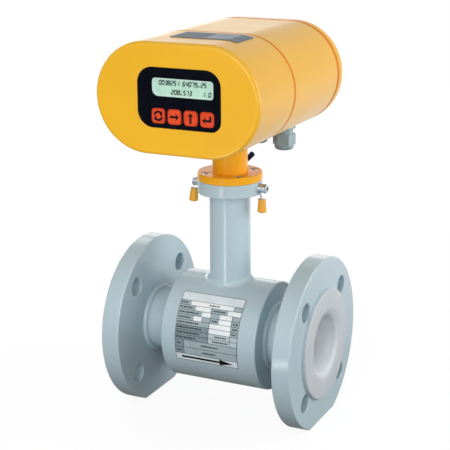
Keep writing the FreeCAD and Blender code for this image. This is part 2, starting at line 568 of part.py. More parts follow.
def make_neck():
    inner_d = NECK_TUBE_D - 2 * NECK_TUBE_WALL
    coil_body = rod(COIL_HOUSING_D, Vector(-COIL_HOUSING_LENGTH, 0, 0), X, 2 * COIL_HOUSING_LENGTH)
    column = rod(NECK_TUBE_D, Vector(0, 0, 0), Z, NECK_TOP).fuse(coil_body)
    foot_edges = [edge for edge in column.Edges if edge.BoundBox.ZMax < COIL_HOUSING_D / 2 + 1
                  and edge.BoundBox.XMax < NECK_TUBE_D and edge.BoundBox.XMin > -NECK_TUBE_D]
    column = column.makeFillet(NECK_WELD, foot_edges)
    parts["neck_tube"] = column.cut(coil_body).cut(rod(inner_d, Vector(0, 0, 0), Z, NECK_TOP))

    tap_d = SCREW_D + 2 * SCREW_FIT
    gasket_seat = Z * (NECK_FLANGE_TOP - NECK_GASKET_THICKNESS)
    flange = rod(NECK_FLANGE_D, Z * NECK_TOP, Z, NECK_FLANGE_THICKNESS)
    flange = flange.makeFillet(0.8, [edge for edge in flange.Edges if edge.Closed])
    tools = [rod(NECK_FLANGE_BORE_D, Z * (NECK_TOP - 1), Z, NECK_FLANGE_THICKNESS + 2),
             tube(NECK_GASKET_D[1], NECK_GASKET_D[0], gasket_seat, Z, NECK_GASKET_THICKNESS + 1)]
    for place in screw_places():
        tools.append(rod(tap_d, place + Z * (NECK_FLANGE_TOP - NECK_TAP_DEPTH), Z, NECK_TAP_DEPTH + 1))
    for side in (-1, 1):
        tools.append(rod(tap_d, Vector(side * NECK_FLANGE_D / 2, 0, EARTH_Z), X * -side, NECK_TAP_DEPTH))
        tools.append(rod(SPOT_FACE_D, Vector(side * EARTH_SEAT, 0, EARTH_Z), X * side, SPOT_FACE_D / 2))
    parts["neck_flange"] = cut(flange, tools)
    parts["neck_gasket"] = tube(NECK_GASKET_D[1], NECK_GASKET_D[0], gasket_seat, Z, NECK_GASKET_THICKNESS)

    recess = LOW_HEAD + HEAD_SUNK
    foot = rod(NECK_FLANGE_D, Z * NECK_FLANGE_TOP, Z, CONVERTER_FLANGE_THICKNESS)
    foot = foot.makeFillet(0.8, [edge for edge in foot.Edges if edge.Closed])
    column = rod(CONVERTER_NECK_D, Z * NECK_FLANGE_TOP, Z, HOUSING_BOTTOM - NECK_FLANGE_TOP)
    spigot_top = HOUSING_FLOOR + LOCK_RING_THICKNESS
    spigot = rod(SPIGOT_D, Z * HOUSING_BOTTOM, Z, spigot_top - HOUSING_BOTTOM)
    boss_root = CONVERTER_NECK_BORE_D / 2
    boss = rod(NECK_EARTH_BOSS_D, Vector(NECK_EARTH_X, boss_root, NECK_EARTH_Z), Y,
               NECK_EARTH_SEAT_Y - boss_root)
    body = fuse([foot, column, spigot, boss])
    earth_seat = Vector(NECK_EARTH_X, NECK_EARTH_SEAT_Y, NECK_EARTH_Z)
    tools = [rod(CONVERTER_NECK_BORE_D, Z * (NECK_FLANGE_TOP - 1), Z, spigot_top - NECK_FLANGE_TOP + 2),
             rod(NECK_EARTH_SCREW_D + 2 * SCREW_FIT, earth_seat, -Y, NECK_EARTH_SCREW_LENGTH + 0.5)]
    screws = []
    for place in screw_places():
        seat = place + Z * (CONVERTER_FLANGE_TOP - recess)
        tools.append(rod(SCREW_D + 2 * THROUGH_FIT, seat + Z, -Z, CONVERTER_FLANGE_THICKNESS))
        tools.append(rod(SCREW_HEAD_D + 2 * HEAD_HOLE_FIT, seat, Z, recess + 1))
        screws.append(socket_screw(SCREW_HEAD_D, LOW_HEAD, SCREW_D, NECK_SCREW_LENGTH, seat, Z))
    parts["converter_neck"] = cut(body, tools)
    parts["neck_screws"] = group(screws)
    parts["neck_lock_ring"] = tube(LOCK_RING_D, SPIGOT_D, Z * HOUSING_FLOOR, Z, LOCK_RING_THICKNESS)


def strip(start, end, width_axis, width, thickness):
    """Flat strip from start to end, rounded over at both ends so that strips join in a bend."""
    along = (end - start).normalize()
    across = width_axis * (width / 2)
    thick = along.cross(width_axis).normalize() * (thickness / 2)
    outline = Part.makePolygon([start - across - thick, start + across - thick, start + across + thick,
                                start - across + thick, start - across - thick])
    bends = [rod(thickness, place - across, width_axis, width) for place in (start, end)]
    return fuse([Part.Face(outline).extrude(end - start)] + bends)


def make_terminal(ring_centre, normal, in_plane, sleeve_start, sleeve_direction, sizes):
    """Ring terminal: a flat ring, a tongue that bends out to sleeve_start, and a round barrel from there on."""
    ring_d, hole_d, bend_at, barrel_d, barrel_length = sizes
    width_axis = normal.cross(in_plane).normalize()
    width = barrel_d * TONGUE_SHARE
    middle = ring_centre + normal * (TERMINAL_PLATE / 2)
    root = middle + in_plane * (ring_d / 2 - TERMINAL_PLATE)
    bend = middle + in_plane * (ring_d / 2 + bend_at)
    tongue_end = sleeve_start + sleeve_direction * (TERMINAL_PLATE / 2)
    body = fuse([rod(ring_d, ring_centre, normal, TERMINAL_PLATE),
                 strip(root, bend, width_axis, width, TERMINAL_PLATE),
                 strip(bend, tongue_end, width_axis, width, TERMINAL_PLATE),
                 rod(barrel_d, sleeve_start, sleeve_direction, barrel_length)])
    return body.cut(rod(hole_d, ring_centre - normal, normal, TERMINAL_PLATE + 2))


def make_sleeve(start, direction, diameters, length, barrel_d, barrel_length):
    """Insulating sleeve round a terminal's barrel, wider and open at the cable end."""
    body = Part.makeCone(diameters[0] / 2, diameters[1] / 2, length, start, direction)
    rims = [edge for edge in body.Edges if edge.Closed and
            abs((edge.CenterOfMass - start).dot(direction) - length) < 1e-6]
    body = body.makeFillet(SLEEVE_END_EDGE * diameters[1] / SLEEVE_D[1], rims)
    entry = rod(diameters[1] - 2 * SLEEVE_RIM, start + direction * barrel_length, direction, length)
    return body.cut(rod(barrel_d, start, direction, length)).cut(entry)


def add_terminal(names, seat, normal, in_plane, start, direction, terminal_sizes, sleeve_d, sleeve_length):
    """A ring terminal and its insulating sleeve, written to the two nodes named."""
    terminal_name, sleeve_name = names
    barrel_d, barrel_length = terminal_sizes[3:]
    parts[terminal_name] = make_terminal(seat, normal, in_plane, start, direction, terminal_sizes)
    parts[sleeve_name] = make_sleeve(start + direction * SLEEVE_SET_BACK, direction, sleeve_d, sleeve_length,
                                     barrel_d, barrel_length - SLEEVE_SET_BACK)


def make_earthing():
    """Earth bolts on both sides of the neck flange, each with washers and an insulated ring terminal."""
    bolts, flats, springs = [], [], []
    hole_d = SCREW_D + 2 * SCREW_FIT
    plate_at = EARTH_SEAT + WASHER_THICKNESS
    spring_at = plate_at + TERMINAL_PLATE
    head_at = spring_at + SPRING_WASHER_THICKNESS
    axis_foot = Z * EARTH_Z
    terminal_sizes = (TERMINAL_RING_D, hole_d, TERMINAL_BEND, TERMINAL_BARREL_D, TERMINAL_BARREL_LENGTH)
    for index, (side, name) in enumerate(((-1, "left"), (1, "right"))):
        out = X * side
        head_seat = axis_foot + out * head_at
        bolts.append(socket_screw(SCREW_HEAD_D, EARTH_HEAD, SCREW_D, NECK_SCREW_LENGTH, head_seat, out))
        flats.append(tube(WASHER_D, hole_d, axis_foot + out * EARTH_SEAT, out, WASHER_THICKNESS))
        spring = tube(SCREW_HEAD_D + SPRING_WASHER_PROUD, hole_d, axis_foot + out * spring_at, out,
                      SPRING_WASHER_THICKNESS)
        slit = block((min(side * spring_at, side * head_at), -SPRING_WASHER_SLIT / 2, EARTH_Z),
                     (max(side * spring_at, side * head_at), SPRING_WASHER_SLIT / 2, EARTH_Z + SCREW_HEAD_D))
        springs.append(spring.cut(slit))
        lean = math.radians(SLEEVE_TILT[index])
        direction = Vector(side * math.sin(lean), 0, -math.cos(lean))
        start = Vector(side * SLEEVE_OUT[index], 0, EARTH_Z - SLEEVE_DROP[index])
        names = ("ring_terminal_" + name, "terminal_sleeve_" + name)
        add_terminal(names, axis_foot + out * plate_at, out, -Z, start, direction, terminal_sizes,
                     SLEEVE_D, SLEEVE_LENGTH)
    parts["earth_bolts"] = group(bolts)
    parts["earth_washers"] = group(flats)
    parts["earth_spring_washers"] = group(springs)

    seat = Vector(NECK_EARTH_X, NECK_EARTH_SEAT_Y, NECK_EARTH_Z)
    direction = Vector(1, 0, 1).normalize()
    start = seat + direction * (NECK_TERMINAL_RING_D / 2 + NECK_TERMINAL_REACH) + Y * (
        TERMINAL_PLATE / 2 + NECK_TERMINAL_STEP)
    terminal_sizes = (NECK_TERMINAL_RING_D, NECK_EARTH_SCREW_D + 2 * SCREW_FIT, NECK_TERMINAL_BEND,
                      NECK_BARREL_D, NECK_BARREL_LENGTH)
    names = ("neck_earth_terminal", "neck_earth_sleeve")
    add_terminal(names, seat, Y, direction, start, direction, terminal_sizes, NECK_SLEEVE_D, NECK_SLEEVE_LENGTH)
    parts["neck_earth_screw"] = socket_screw(NECK_EARTH_HEAD_D, NECK_EARTH_HEAD, NECK_EARTH_SCREW_D,
                                             NECK_EARTH_SCREW_LENGTH, seat + Y * TERMINAL_PLATE, Y)


# ---- Converter housing ----
def make_front_shell():
    shell = stadium(FRONT_Y, FRONT_GASKET_Y)
    shell = shell.makeFillet(FRONT_EDGE, edges_at_y(shell, FRONT_Y, 0))
    shell = shell.makeChamfer(SEAM_EDGE, edges_at_y(shell, FRONT_GASKET_Y, 0))
    shell = shell.cut(stadium(FRONT_WALL_INSIDE, FRONT_GASKET_Y + 1, -WALL))
    radii = (PANEL_CORNER, PANEL_SMALL_CORNER, PANEL_CORNER, PANEL_CORNER)
    pocket = rounded_rectangle(PANEL_CENTRE, PANEL_SIZE, radii, FRONT_Y - 1, PANEL_BACK)
    window_size = [size - 2 * LEDGE for size in PANEL_SIZE]
    window_radii = [radius - LEDGE for radius in radii]
    window = rounded_rectangle(PANEL_CENTRE, window_size, window_radii, FRONT_Y, FRONT_WALL_INSIDE + 1)
    shell = shell.cut(pocket)
    half_width, half_height = PANEL_SIZE[0] / 2, PANEL_SIZE[1] / 2
    rim = [edge for edge in shell.Edges
           if edge.BoundBox.YLength < 1e-6 and abs(edge.BoundBox.YMin - FRONT_Y) < 1e-4
           and abs(edge.CenterOfMass.x - PANEL_CENTRE[0]) < half_width + PANEL_FIT
           and abs(edge.CenterOfMass.z - PANEL_CENTRE[1]) < half_height + PANEL_FIT]
    shell = shell.makeFillet(PANEL_LIP, rim).cut(window)
    bosses, taps = [], []
    tap_depth = TIE_REACH + TAP_SPARE
    for place_x, place_z in round_the_ends(TIE_SCREW_ANGLE):
        mouth = Vector(place_x, FRONT_GASKET_Y, place_z)
        bosses.append(rod(BOSS_D, mouth, -Y, TIE_BOSS_LENGTH))
        taps.append(rod(SCREW_D + 2 * SCREW_FIT, mouth, -Y, tap_depth))
    for place_x, place_z in corners_of(DISPLAY_BOARD_SIZE, PANEL_CENTRE, BOARD_INSET):
        bosses.append(rod(DISPLAY_POST_D, Vector(place_x, FRONT_WALL_INSIDE, place_z), Y, DISPLAY_POST))
        taps.append(rod(BOARD_SCREW_D + 2 * SCREW_FIT, Vector(place_x, FRONT_WALL_INSIDE, place_z), Y,
                        DISPLAY_POST + 1))
    inside = stadium(FRONT_Y + 1, FRONT_GASKET_Y, -WALL / 2)
    shell = fuse([shell] + [boss.common(inside) for boss in bosses])
    parts["front_shell"] = cut(shell, taps)


def make_middle_shell():
    front, rear = FRONT_GASKET_Y + GASKET_THICKNESS, REAR_GASKET_Y
    shell = stadium(front, rear)
    shell = shell.makeChamfer(SEAM_EDGE, edges_at_y(shell, front, 0) + edges_at_y(shell, rear, 0))
    shell = shell.cut(stadium(front - 1, PARTITION_Y, -WALL)).cut(stadium(PARTITION_BACK, rear + 1, -WALL))
    inside = stadium(front, rear, -WALL / 2)
    added, tools = [], []
    tap_depth = COVER_REACH + TAP_SPARE
    for place_x, place_z in round_the_ends(COVER_SCREW_ANGLE):
        mouth = Vector(place_x, rear, place_z)
        added.append(rod(BOSS_D, mouth, -Y, rear - PARTITION_BACK).common(inside))
        tools.append(rod(SCREW_D + 2 * SCREW_FIT, mouth, -Y, tap_depth))
    for place_x, place_z in corners_of(TERMINAL_BOARD_SIZE, (0, TERMINAL_BOARD_Z), BOARD_INSET):
        added.append(rod(STANDOFF_D, Vector(place_x, PARTITION_BACK, place_z), Y, TERMINAL_POST))
    for place_x, place_z in round_the_ends(TIE_SCREW_ANGLE):
        tools.append(rod(SCREW_D + 2 * THROUGH_FIT, Vector(place_x, PARTITION_Y - 1, place_z), Y,
                         PARTITION_THICKNESS + 2))
    above_floor = stadium(PARTITION_BACK, rear, -WALL)
    pad_room = stadium(PARTITION_BACK, rear, -WALL / 2)
    for gland_x in GLAND_X:
        seat = Vector(gland_x, GLAND_Y, HOUSING_BOTTOM)
        added.append(rod(GLAND_PAD_D, seat, Z, WALL + 1).cut(above_floor))
        tools.append(rod(GLAND_THREAD_D + 2 * GLAND_FIT, seat - Z, Z, WALL + 2))
        tools.append(rod(GLAND_PAD_D, seat + Z * WALL, Z, GLAND_LOCKNUT_THICKNESS).common(pad_room))
    tools.append(rod(SPIGOT_D + 2 * SPIGOT_FIT, Z * (HOUSING_BOTTOM - 1), Z, WALL + 2))
    tools.append(rod(CABLE_HOLE_D, Vector(0, PARTITION_Y - 1, HOUSING_FLOOR + CABLE_HOLE_UP), Y,
                     PARTITION_THICKNESS + 2))
    parts["middle_shell"] = cut(fuse([shell] + added), tools)


def make_rear_cover():
    front = REAR_GASKET_Y + GASKET_THICKNESS
    cover = stadium(front, REAR_Y)
    cover = cover.makeFillet(REAR_EDGE, edges_at_y(cover, REAR_Y, 0))
    cover = cover.makeChamfer(SEAM_EDGE, edges_at_y(cover, front, 0))
    cover = cover.cut(stadium(front - 1, REAR_Y - WALL, -WALL))
    inside = stadium(front, REAR_Y - 1, -WALL / 2)
    bosses, tools, screws = [], [], []
    seat_y = REAR_Y - EARTH_HEAD - HEAD_SUNK
    screw_length = seat_y - REAR_GASKET_Y + COVER_REACH
    for place_x, place_z in round_the_ends(COVER_SCREW_ANGLE):
        seat = Vector(place_x, seat_y, place_z)
        root = Vector(place_x, front, place_z)
        bosses.append(rod(COVER_BOSS_D, root, Y, REAR_Y - 1 - front).common(inside))
        tools.append(rod(SCREW_D + 2 * THROUGH_FIT, Vector(place_x, front - 1, place_z), Y, REAR_Y - front))
        tools.append(rod(SCREW_HEAD_D + 2 * HEAD_HOLE_FIT, seat, Y, EARTH_HEAD + 1))
        screws.append(socket_screw(SCREW_HEAD_D, EARTH_HEAD, SCREW_D, screw_length, seat, Y))
    parts["rear_cover"] = cut(fuse([cover] + bosses), tools)
    parts["rear_cover_screws"] = group(screws)


def make_housing():
    make_front_shell()
    make_middle_shell()
    make_rear_cover()
    gaskets = []
    for start in (FRONT_GASKET_Y, REAR_GASKET_Y):
        outer = stadium(start, start + GASKET_THICKNESS, -GASKET_SET_BACK)
        gaskets.append(outer.cut(stadium(start, start + GASKET_THICKNESS, -WALL)))
    parts["cover_gaskets"] = group(gaskets)
    ties = []
    length = PARTITION_BACK - FRONT_GASKET_Y + TIE_REACH
    for place_x, place_z in round_the_ends(TIE_SCREW_ANGLE):
        seat = Vector(place_x, PARTITION_BACK, place_z)
        ties.append(socket_screw(SCREW_HEAD_D, EARTH_HEAD, SCREW_D, length, seat, Y))
    parts["tie_screws"] = group(ties)
    under_label = stadium(*LABEL_Y, ADHESIVE)
    band = stadium(*LABEL_Y, ADHESIVE + LABEL_THICKNESS).cut(under_label)
    low, high = (LABEL_X[0], LABEL_Y[0], HOUSING_Z), (LABEL_X[1], LABEL_Y[1], HOUSING_Z + HOUSING_HEIGHT)
    parts["top_label"] = band.common(block(low, high))


# ---- Display and keys ----
def key_places():
    first = KEY_ROW[0] - KEY_PITCH * (len(KEY_NAMES) - 1) / 2
    return [(name, (first + KEY_PITCH * index, KEY_ROW[1])) for index, name in enumerate(KEY_NAMES)]


def make_display():
    radii = (PANEL_CORNER, PANEL_SMALL_CORNER, PANEL_CORNER, PANEL_CORNER)
    size = [length - 2 * PANEL_FIT for length in PANEL_SIZE]
    radii = [radius - PANEL_FIT for radius in radii]
    panel = rounded_rectangle(PANEL_CENTRE, size, radii, PANEL_FRONT, PANEL_BACK)
    through = (PANEL_FRONT - 1, PANEL_BACK + 1)
    display_radii = (DISPLAY_LARGE_CORNER, DISPLAY_CORNER, DISPLAY_CORNER, DISPLAY_CORNER)
    panel = panel.cut(rounded_rectangle(DISPLAY_CENTRE, DISPLAY_SIZE, display_radii, *through))
    hole_size = (KEY_SIZE + 2 * KEY_CLEARANCE,) * 2
    switches = []
    for name, centre in key_places():
        panel = panel.cut(rounded_rectangle(centre, hole_size, (KEY_CORNER + KEY_CLEARANCE,) * 4, *through))
        lip_front = PANEL_BACK + KEY_LIP_GAP
        lip_back = lip_front + KEY_LIP_THICKNESS
        cap_front = PANEL_FRONT - KEY_PROUD
        cap = rounded_rectangle(centre, (KEY_SIZE, KEY_SIZE), (KEY_CORNER,) * 4, cap_front, lip_back)
        front_rim = [edge for edge in cap.Edges if edge.BoundBox.YLength < 1e-6 and
                     abs(edge.BoundBox.YMin - cap_front) < 1e-6]
        cap = cap.makeFillet(KEY_EDGE, front_rim)
        lip = rounded_rectangle(centre, (KEY_SIZE, KEY_SIZE + 2 * KEY_LIP), (1.0,) * 4, lip_front, lip_back)
        stem_end = SWITCH_TOP - KEY_TRAVEL - SWITCH_GAP
        stem = rod(KEY_STEM_D, Vector(centre[0], lip_front, centre[1]), Y, stem_end - lip_front)
        parts[name] = fuse([cap, lip, stem])
        half = SWITCH_SIZE / 2
        case = block((centre[0] - half, SWITCH_TOP + SWITCH_PLUNGER, centre[1] - half),
                     (centre[0] + half, DISPLAY_BOARD_FRONT, centre[1] + half))
        plunger = rod(SWITCH_PLUNGER_D, Vector(centre[0], SWITCH_TOP, centre[1]), Y, SWITCH_HEIGHT)
        switches.append(case.fuse(plunger))
    parts["keypad_panel"] = panel
    parts["key_switches"] = group(switches)
    pane_size = [length - 2 * WINDOW_FIT for length in DISPLAY_SIZE]
    pane_radii = [radius - WINDOW_FIT for radius in display_radii]
    pane_front = PANEL_BACK - WINDOW_THICKNESS
    parts["display_window"] = rounded_rectangle(DISPLAY_CENTRE, pane_size, pane_radii, pane_front, PANEL_BACK)
    module_size = [length + 2 * MODULE_MARGIN for length in DISPLAY_SIZE]
    parts["display_module"] = rounded_rectangle(DISPLAY_CENTRE, module_size, (MODULE_CORNER,) * 4, PANEL_BACK,
                                                DISPLAY_BOARD_FRONT)


# ---- Boards and inner cables ----
def upright_block(centre_x, centre_z, size, front):
    """Block with its front at y = front; size is along X, Y and Z."""
    return block((centre_x - size[0] / 2, front, centre_z - size[2] / 2),
                 (centre_x + size[0] / 2, front + size[1], centre_z + size[2] / 2))


def fitting(place, size, board_front, off_board=0.0):
    """Block on the main board's front, at place from the board's centre."""
    return upright_block(place[0], HOUSING_Z + place[1], size, board_front - off_board - size[1])


def make_display_board():
    centre_x, centre_z = PANEL_CENTRE
    board = upright_block(centre_x, centre_z, (DISPLAY_BOARD_SIZE[0], BOARD_THICKNESS, DISPLAY_BOARD_SIZE[1]),
                          DISPLAY_BOARD_FRONT)
    plug = upright_block(0, RIBBON_Z, PLUG_SIZE, DISPLAY_BOARD_BACK)
    holes, screws = [], []
    for place_x, place_z in corners_of(DISPLAY_BOARD_SIZE, PANEL_CENTRE, BOARD_INSET):
        seat = Vector(place_x, DISPLAY_BOARD_BACK, place_z)
        holes.append(rod(BOARD_HOLE_D, seat + Y, -Y, BOARD_THICKNESS + 2))
        screws.append(socket_screw(*BOARD_SCREW_HEAD, BOARD_SCREW_D, BOARD_SCREW_LENGTH, seat, Y))
    parts["display_board"] = cut(board.fuse(plug), holes)
    parts["display_board_screws"] = group(screws)


def make_main_board():
    front = MAIN_BOARD_FRONT
    board = upright_block(0, HOUSING_Z, (MAIN_BOARD_SIZE[0], BOARD_THICKNESS, MAIN_BOARD_SIZE[1]), front)
    fittings = [upright_block(0, RIBBON_Z, PLUG_SIZE, front - PLUG_SIZE[1]),
                upright_block(0, CABLE_Z, CABLE_PLUG_SIZE, front - CABLE_PLUG_SIZE[1]),
                fitting(PROCESSOR_AT, PROCESSOR_SIZE, front)]
    for place_x, place_z in CAPACITORS_AT:
        fittings.append(rod(CAPACITOR_D, Vector(place_x, front - CAPACITOR_HEIGHT, HOUSING_Z + place_z), Y,
                            CAPACITOR_HEIGHT))
    parts["main_board"] = fuse([board] + fittings)
    standoffs = [hexagon(STANDOFF_D, Vector(place_x, MAIN_BOARD_BACK, place_z), Y, MAIN_BOARD_STANDOFF)
                 for place_x, place_z in corners_of(MAIN_BOARD_SIZE, (0, HOUSING_Z), BOARD_INSET)]
    parts["main_board_standoffs"] = group(standoffs)
    core = fitting(TRANSFORMER_AT, TRANSFORMER_CORE, front)
    bobbin_off = (TRANSFORMER_CORE[1] - TRANSFORMER_BOBBIN[1]) / 2
    parts["power_transformer"] = core.fuse(fitting(TRANSFORMER_AT, TRANSFORMER_BOBBIN, front, bobbin_off))


def make_terminal_board():
    size = (TERMINAL_BOARD_SIZE[0], BOARD_THICKNESS, TERMINAL_BOARD_SIZE[1])
    parts["terminal_board"] = upright_block(0, TERMINAL_BOARD_Z, size, TERMINAL_BOARD_FRONT)
    back = TERMINAL_BOARD_FRONT + BOARD_THICKNESS
    width = TERMINAL_PITCH * TERMINAL_WAYS
    blocks = []
    for level in (-1, 1):
        middle = TERMINAL_BOARD_Z + level * TERMINAL_BLOCK_SPREAD
        body = upright_block(0, middle, (width, TERMINAL_BLOCK_DEPTH, TERMINAL_BLOCK_HEIGHT), back)
        mouth_z = middle - TERMINAL_BLOCK_HEIGHT / 2
        mouths = [upright_block(TERMINAL_PITCH * (way + 0.5) - width / 2, mouth_z,
                                (TERMINAL_MOUTH[0], TERMINAL_MOUTH[1], 2 * TERMINAL_MOUTH[2]), back + WALL)
                  for way in range(TERMINAL_WAYS)]
        blocks.append(cut(body, mouths))
    parts["terminal_blocks"] = group(blocks)


def make_inner_cables():
    """The sensor's cable, from the coil connector up the neck to the main board, and the display's ribbon."""
    half_turn = CABLE_BEND * math.sqrt(0.5)
    path = Part.Wire([
        Part.LineSegment(Vector(0, 0, CONNECTOR_TOP), Vector(0, 0, CABLE_TURN_Z)).toShape(),
        Part.Arc(Vector(0, 0, CABLE_TURN_Z), Vector(0, CABLE_BEND - half_turn, CABLE_TURN_Z + half_turn),
                 Vector(0, CABLE_BEND, CABLE_Z)).toShape(),
        Part.LineSegment(Vector(0, CABLE_BEND, CABLE_Z),
                         Vector(0, MAIN_BOARD_FRONT - CABLE_PLUG_SIZE[1], CABLE_Z)).toShape()])
    section = Part.Wire([Part.Circle(Vector(0, 0, CONNECTOR_TOP), Z, CABLE_D / 2).toShape()])
    parts["signal_cable"] = path.makePipeShell([section], True, True)
    start = DISPLAY_BOARD_BACK + PLUG_SIZE[1]
    length = MAIN_BOARD_FRONT - PLUG_SIZE[1] - start
    parts["ribbon_cable"] = upright_block(0, RIBBON_Z, (RIBBON_WIDTH, length, RIBBON_THICKNESS), start)


# ---- Cable glands ----
def make_gland_nut(nut_top, mouth_seat):
    """Dome nut: a hexagon with its upper corners rounded off, ending in a smooth dome."""
    hex_end = nut_top - Z * GLAND_NUT_HEX_HEIGHT
    corner_r = GLAND_HEX / 2 / math.cos(math.radians(30))
    rise = GLAND_NUT_CROWN
    crown = Part.makeCone(corner_r + rise - GLAND_NUT_CROWN_CUT, corner_r - GLAND_NUT_CROWN_CUT, rise,
                          nut_top - Z * rise, Z)
    lower = rod(4 * corner_r, hex_end, Z, GLAND_NUT_HEX_HEIGHT - rise)
    body = hexagon(GLAND_HEX, hex_end, Z, GLAND_NUT_HEX_HEIGHT, GLAND_HEX_TURN).common(crown.fuse(lower))
    dome_r, end_r, depth = GLAND_HEX / 2, GLAND_DOME_END_D / 2, GLAND_DOME_HEIGHT
    bulge = Vector(end_r + (dome_r - end_r) * math.sqrt(0.5), 0, -depth * math.sqrt(0.5))
    dome = revolve([Vector(0, 0, 0), Vector(dome_r, 0, 0), (bulge, Vector(end_r, 0, -depth)),
                    Vector(0, 0, -depth)], Z)
    dome.translate(hex_end)
    whole = GLAND_NUT_HEX_HEIGHT + GLAND_DOME_HEIGHT
    hollow = rod(GLAND_NUT_BORE_D, mouth_seat, Z, whole)
    return body.fuse(dome).cut(hollow).cut(rod(GLAND_MOUTH_D, hex_end - Z * whole, Z, 2 * whole))


def make_glands():
    bodies, nuts, seals, locknuts = [], [], [], []
    seal_d = GLAND_NUT_BORE_D - 2 * GLAND_FIT
    for gland_x, shown in zip(GLAND_X, GLAND_NECK_SHOWN):
        seat = Vector(gland_x, GLAND_Y, HOUSING_BOTTOM)
        nut_top = seat - Z * (GLAND_BASE_HEIGHT + shown)
        mouth_seat = nut_top - Z * (GLAND_NUT_HEX_HEIGHT + GLAND_DOME_HEIGHT - GLAND_MOUTH_DEPTH)
        neck_end = mouth_seat + Z * GLAND_SEAL_LENGTH
        base_top = seat - Z * GLAND_BASE_HEIGHT
        thread_length = WALL + GLAND_LOCKNUT_THICKNESS + GLAND_THREAD_SPARE
        thread = rod(GLAND_THREAD_D, seat, Z, thread_length)
        base = hexagon(GLAND_HEX, base_top, Z, GLAND_BASE_HEIGHT, GLAND_HEX_TURN)
        neck = rod(seal_d, neck_end, Z, base_top.z - neck_end.z)
        bore = rod(GLAND_BORE_D, neck_end - Z, Z, seat.z - neck_end.z + thread_length + 2)
        bodies.append(fuse([thread, base, neck]).cut(bore))
        nuts.append(make_gland_nut(nut_top, mouth_seat))
        seals.append(tube(seal_d, GLAND_SEAL_BORE_D, mouth_seat, Z, GLAND_SEAL_LENGTH))
        locknut = hexagon(GLAND_HEX, seat + Z * WALL, Z, GLAND_LOCKNUT_THICKNESS, GLAND_HEX_TURN)
        locknuts.append(locknut.cut(thread))
    parts["gland_bodies"] = group(bodies)
    parts["gland_nuts"] = group(nuts)
    parts["gland_seals"] = group(seals)
    parts["gland_locknuts"] = group(locknuts)


def main():
    make_sensor()
    make_neck()
    make_earthing()
    make_housing()
    make_display()
    make_display_board()
    make_main_board()
    make_terminal_board()
    make_inner_cables()
    make_glands()
    os.makedirs("parts", exist_ok=True)
    for name, shape in parts.items():
        if not shape.isValid():
            print("not valid:", name)
        shape.exportStep(os.path.join("parts", name + ".step"))
    print(len(parts), "nodes,", sum(len(shape.Solids) for shape in parts.values()), "solids")


main()
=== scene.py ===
"""Looks of the electromagnetic flow meter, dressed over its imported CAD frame.

Lengths are in metres, in the frame of the CAD: x along the pipe, -y towards the display, z up.
"""
import math

import bmesh
import bpy
from mathutils import Matrix, Vector


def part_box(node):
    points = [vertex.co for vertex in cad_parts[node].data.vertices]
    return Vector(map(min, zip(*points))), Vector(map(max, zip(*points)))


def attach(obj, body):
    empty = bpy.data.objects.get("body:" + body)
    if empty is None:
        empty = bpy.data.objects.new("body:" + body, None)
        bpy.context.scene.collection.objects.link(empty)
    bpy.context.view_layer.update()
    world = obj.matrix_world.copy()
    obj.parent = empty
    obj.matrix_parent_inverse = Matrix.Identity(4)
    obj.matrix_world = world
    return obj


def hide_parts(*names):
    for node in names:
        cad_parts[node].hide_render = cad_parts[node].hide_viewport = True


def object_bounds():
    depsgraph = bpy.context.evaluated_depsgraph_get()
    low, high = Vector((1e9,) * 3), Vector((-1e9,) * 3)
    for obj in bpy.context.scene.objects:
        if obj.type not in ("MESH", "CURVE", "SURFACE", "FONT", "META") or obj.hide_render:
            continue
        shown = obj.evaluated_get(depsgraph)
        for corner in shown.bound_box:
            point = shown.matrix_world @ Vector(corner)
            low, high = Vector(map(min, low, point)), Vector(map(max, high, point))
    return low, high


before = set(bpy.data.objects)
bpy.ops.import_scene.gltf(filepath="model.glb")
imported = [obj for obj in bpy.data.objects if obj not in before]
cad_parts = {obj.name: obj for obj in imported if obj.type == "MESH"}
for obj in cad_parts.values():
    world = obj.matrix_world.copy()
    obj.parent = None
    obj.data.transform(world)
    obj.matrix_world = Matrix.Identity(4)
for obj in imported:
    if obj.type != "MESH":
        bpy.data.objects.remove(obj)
cad_low, cad_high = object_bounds()
MM = 0.001
METER = "meter"


# Material nodes

def rgb(red, green, blue):
    """Linear colour of an sRGB colour written as 0 to 255."""
    def linear(value):
        value /= 255
        return value / 12.92 if value <= 0.04045 else ((value + 0.055) / 1.055) ** 2.4
    return (linear(red), linear(green), linear(blue), 1.0)


def shade(colour, factor):
    """The same colour, lighter or darker."""
    return tuple(min(1.0, part * factor) for part in colour[:3]) + (1.0,)


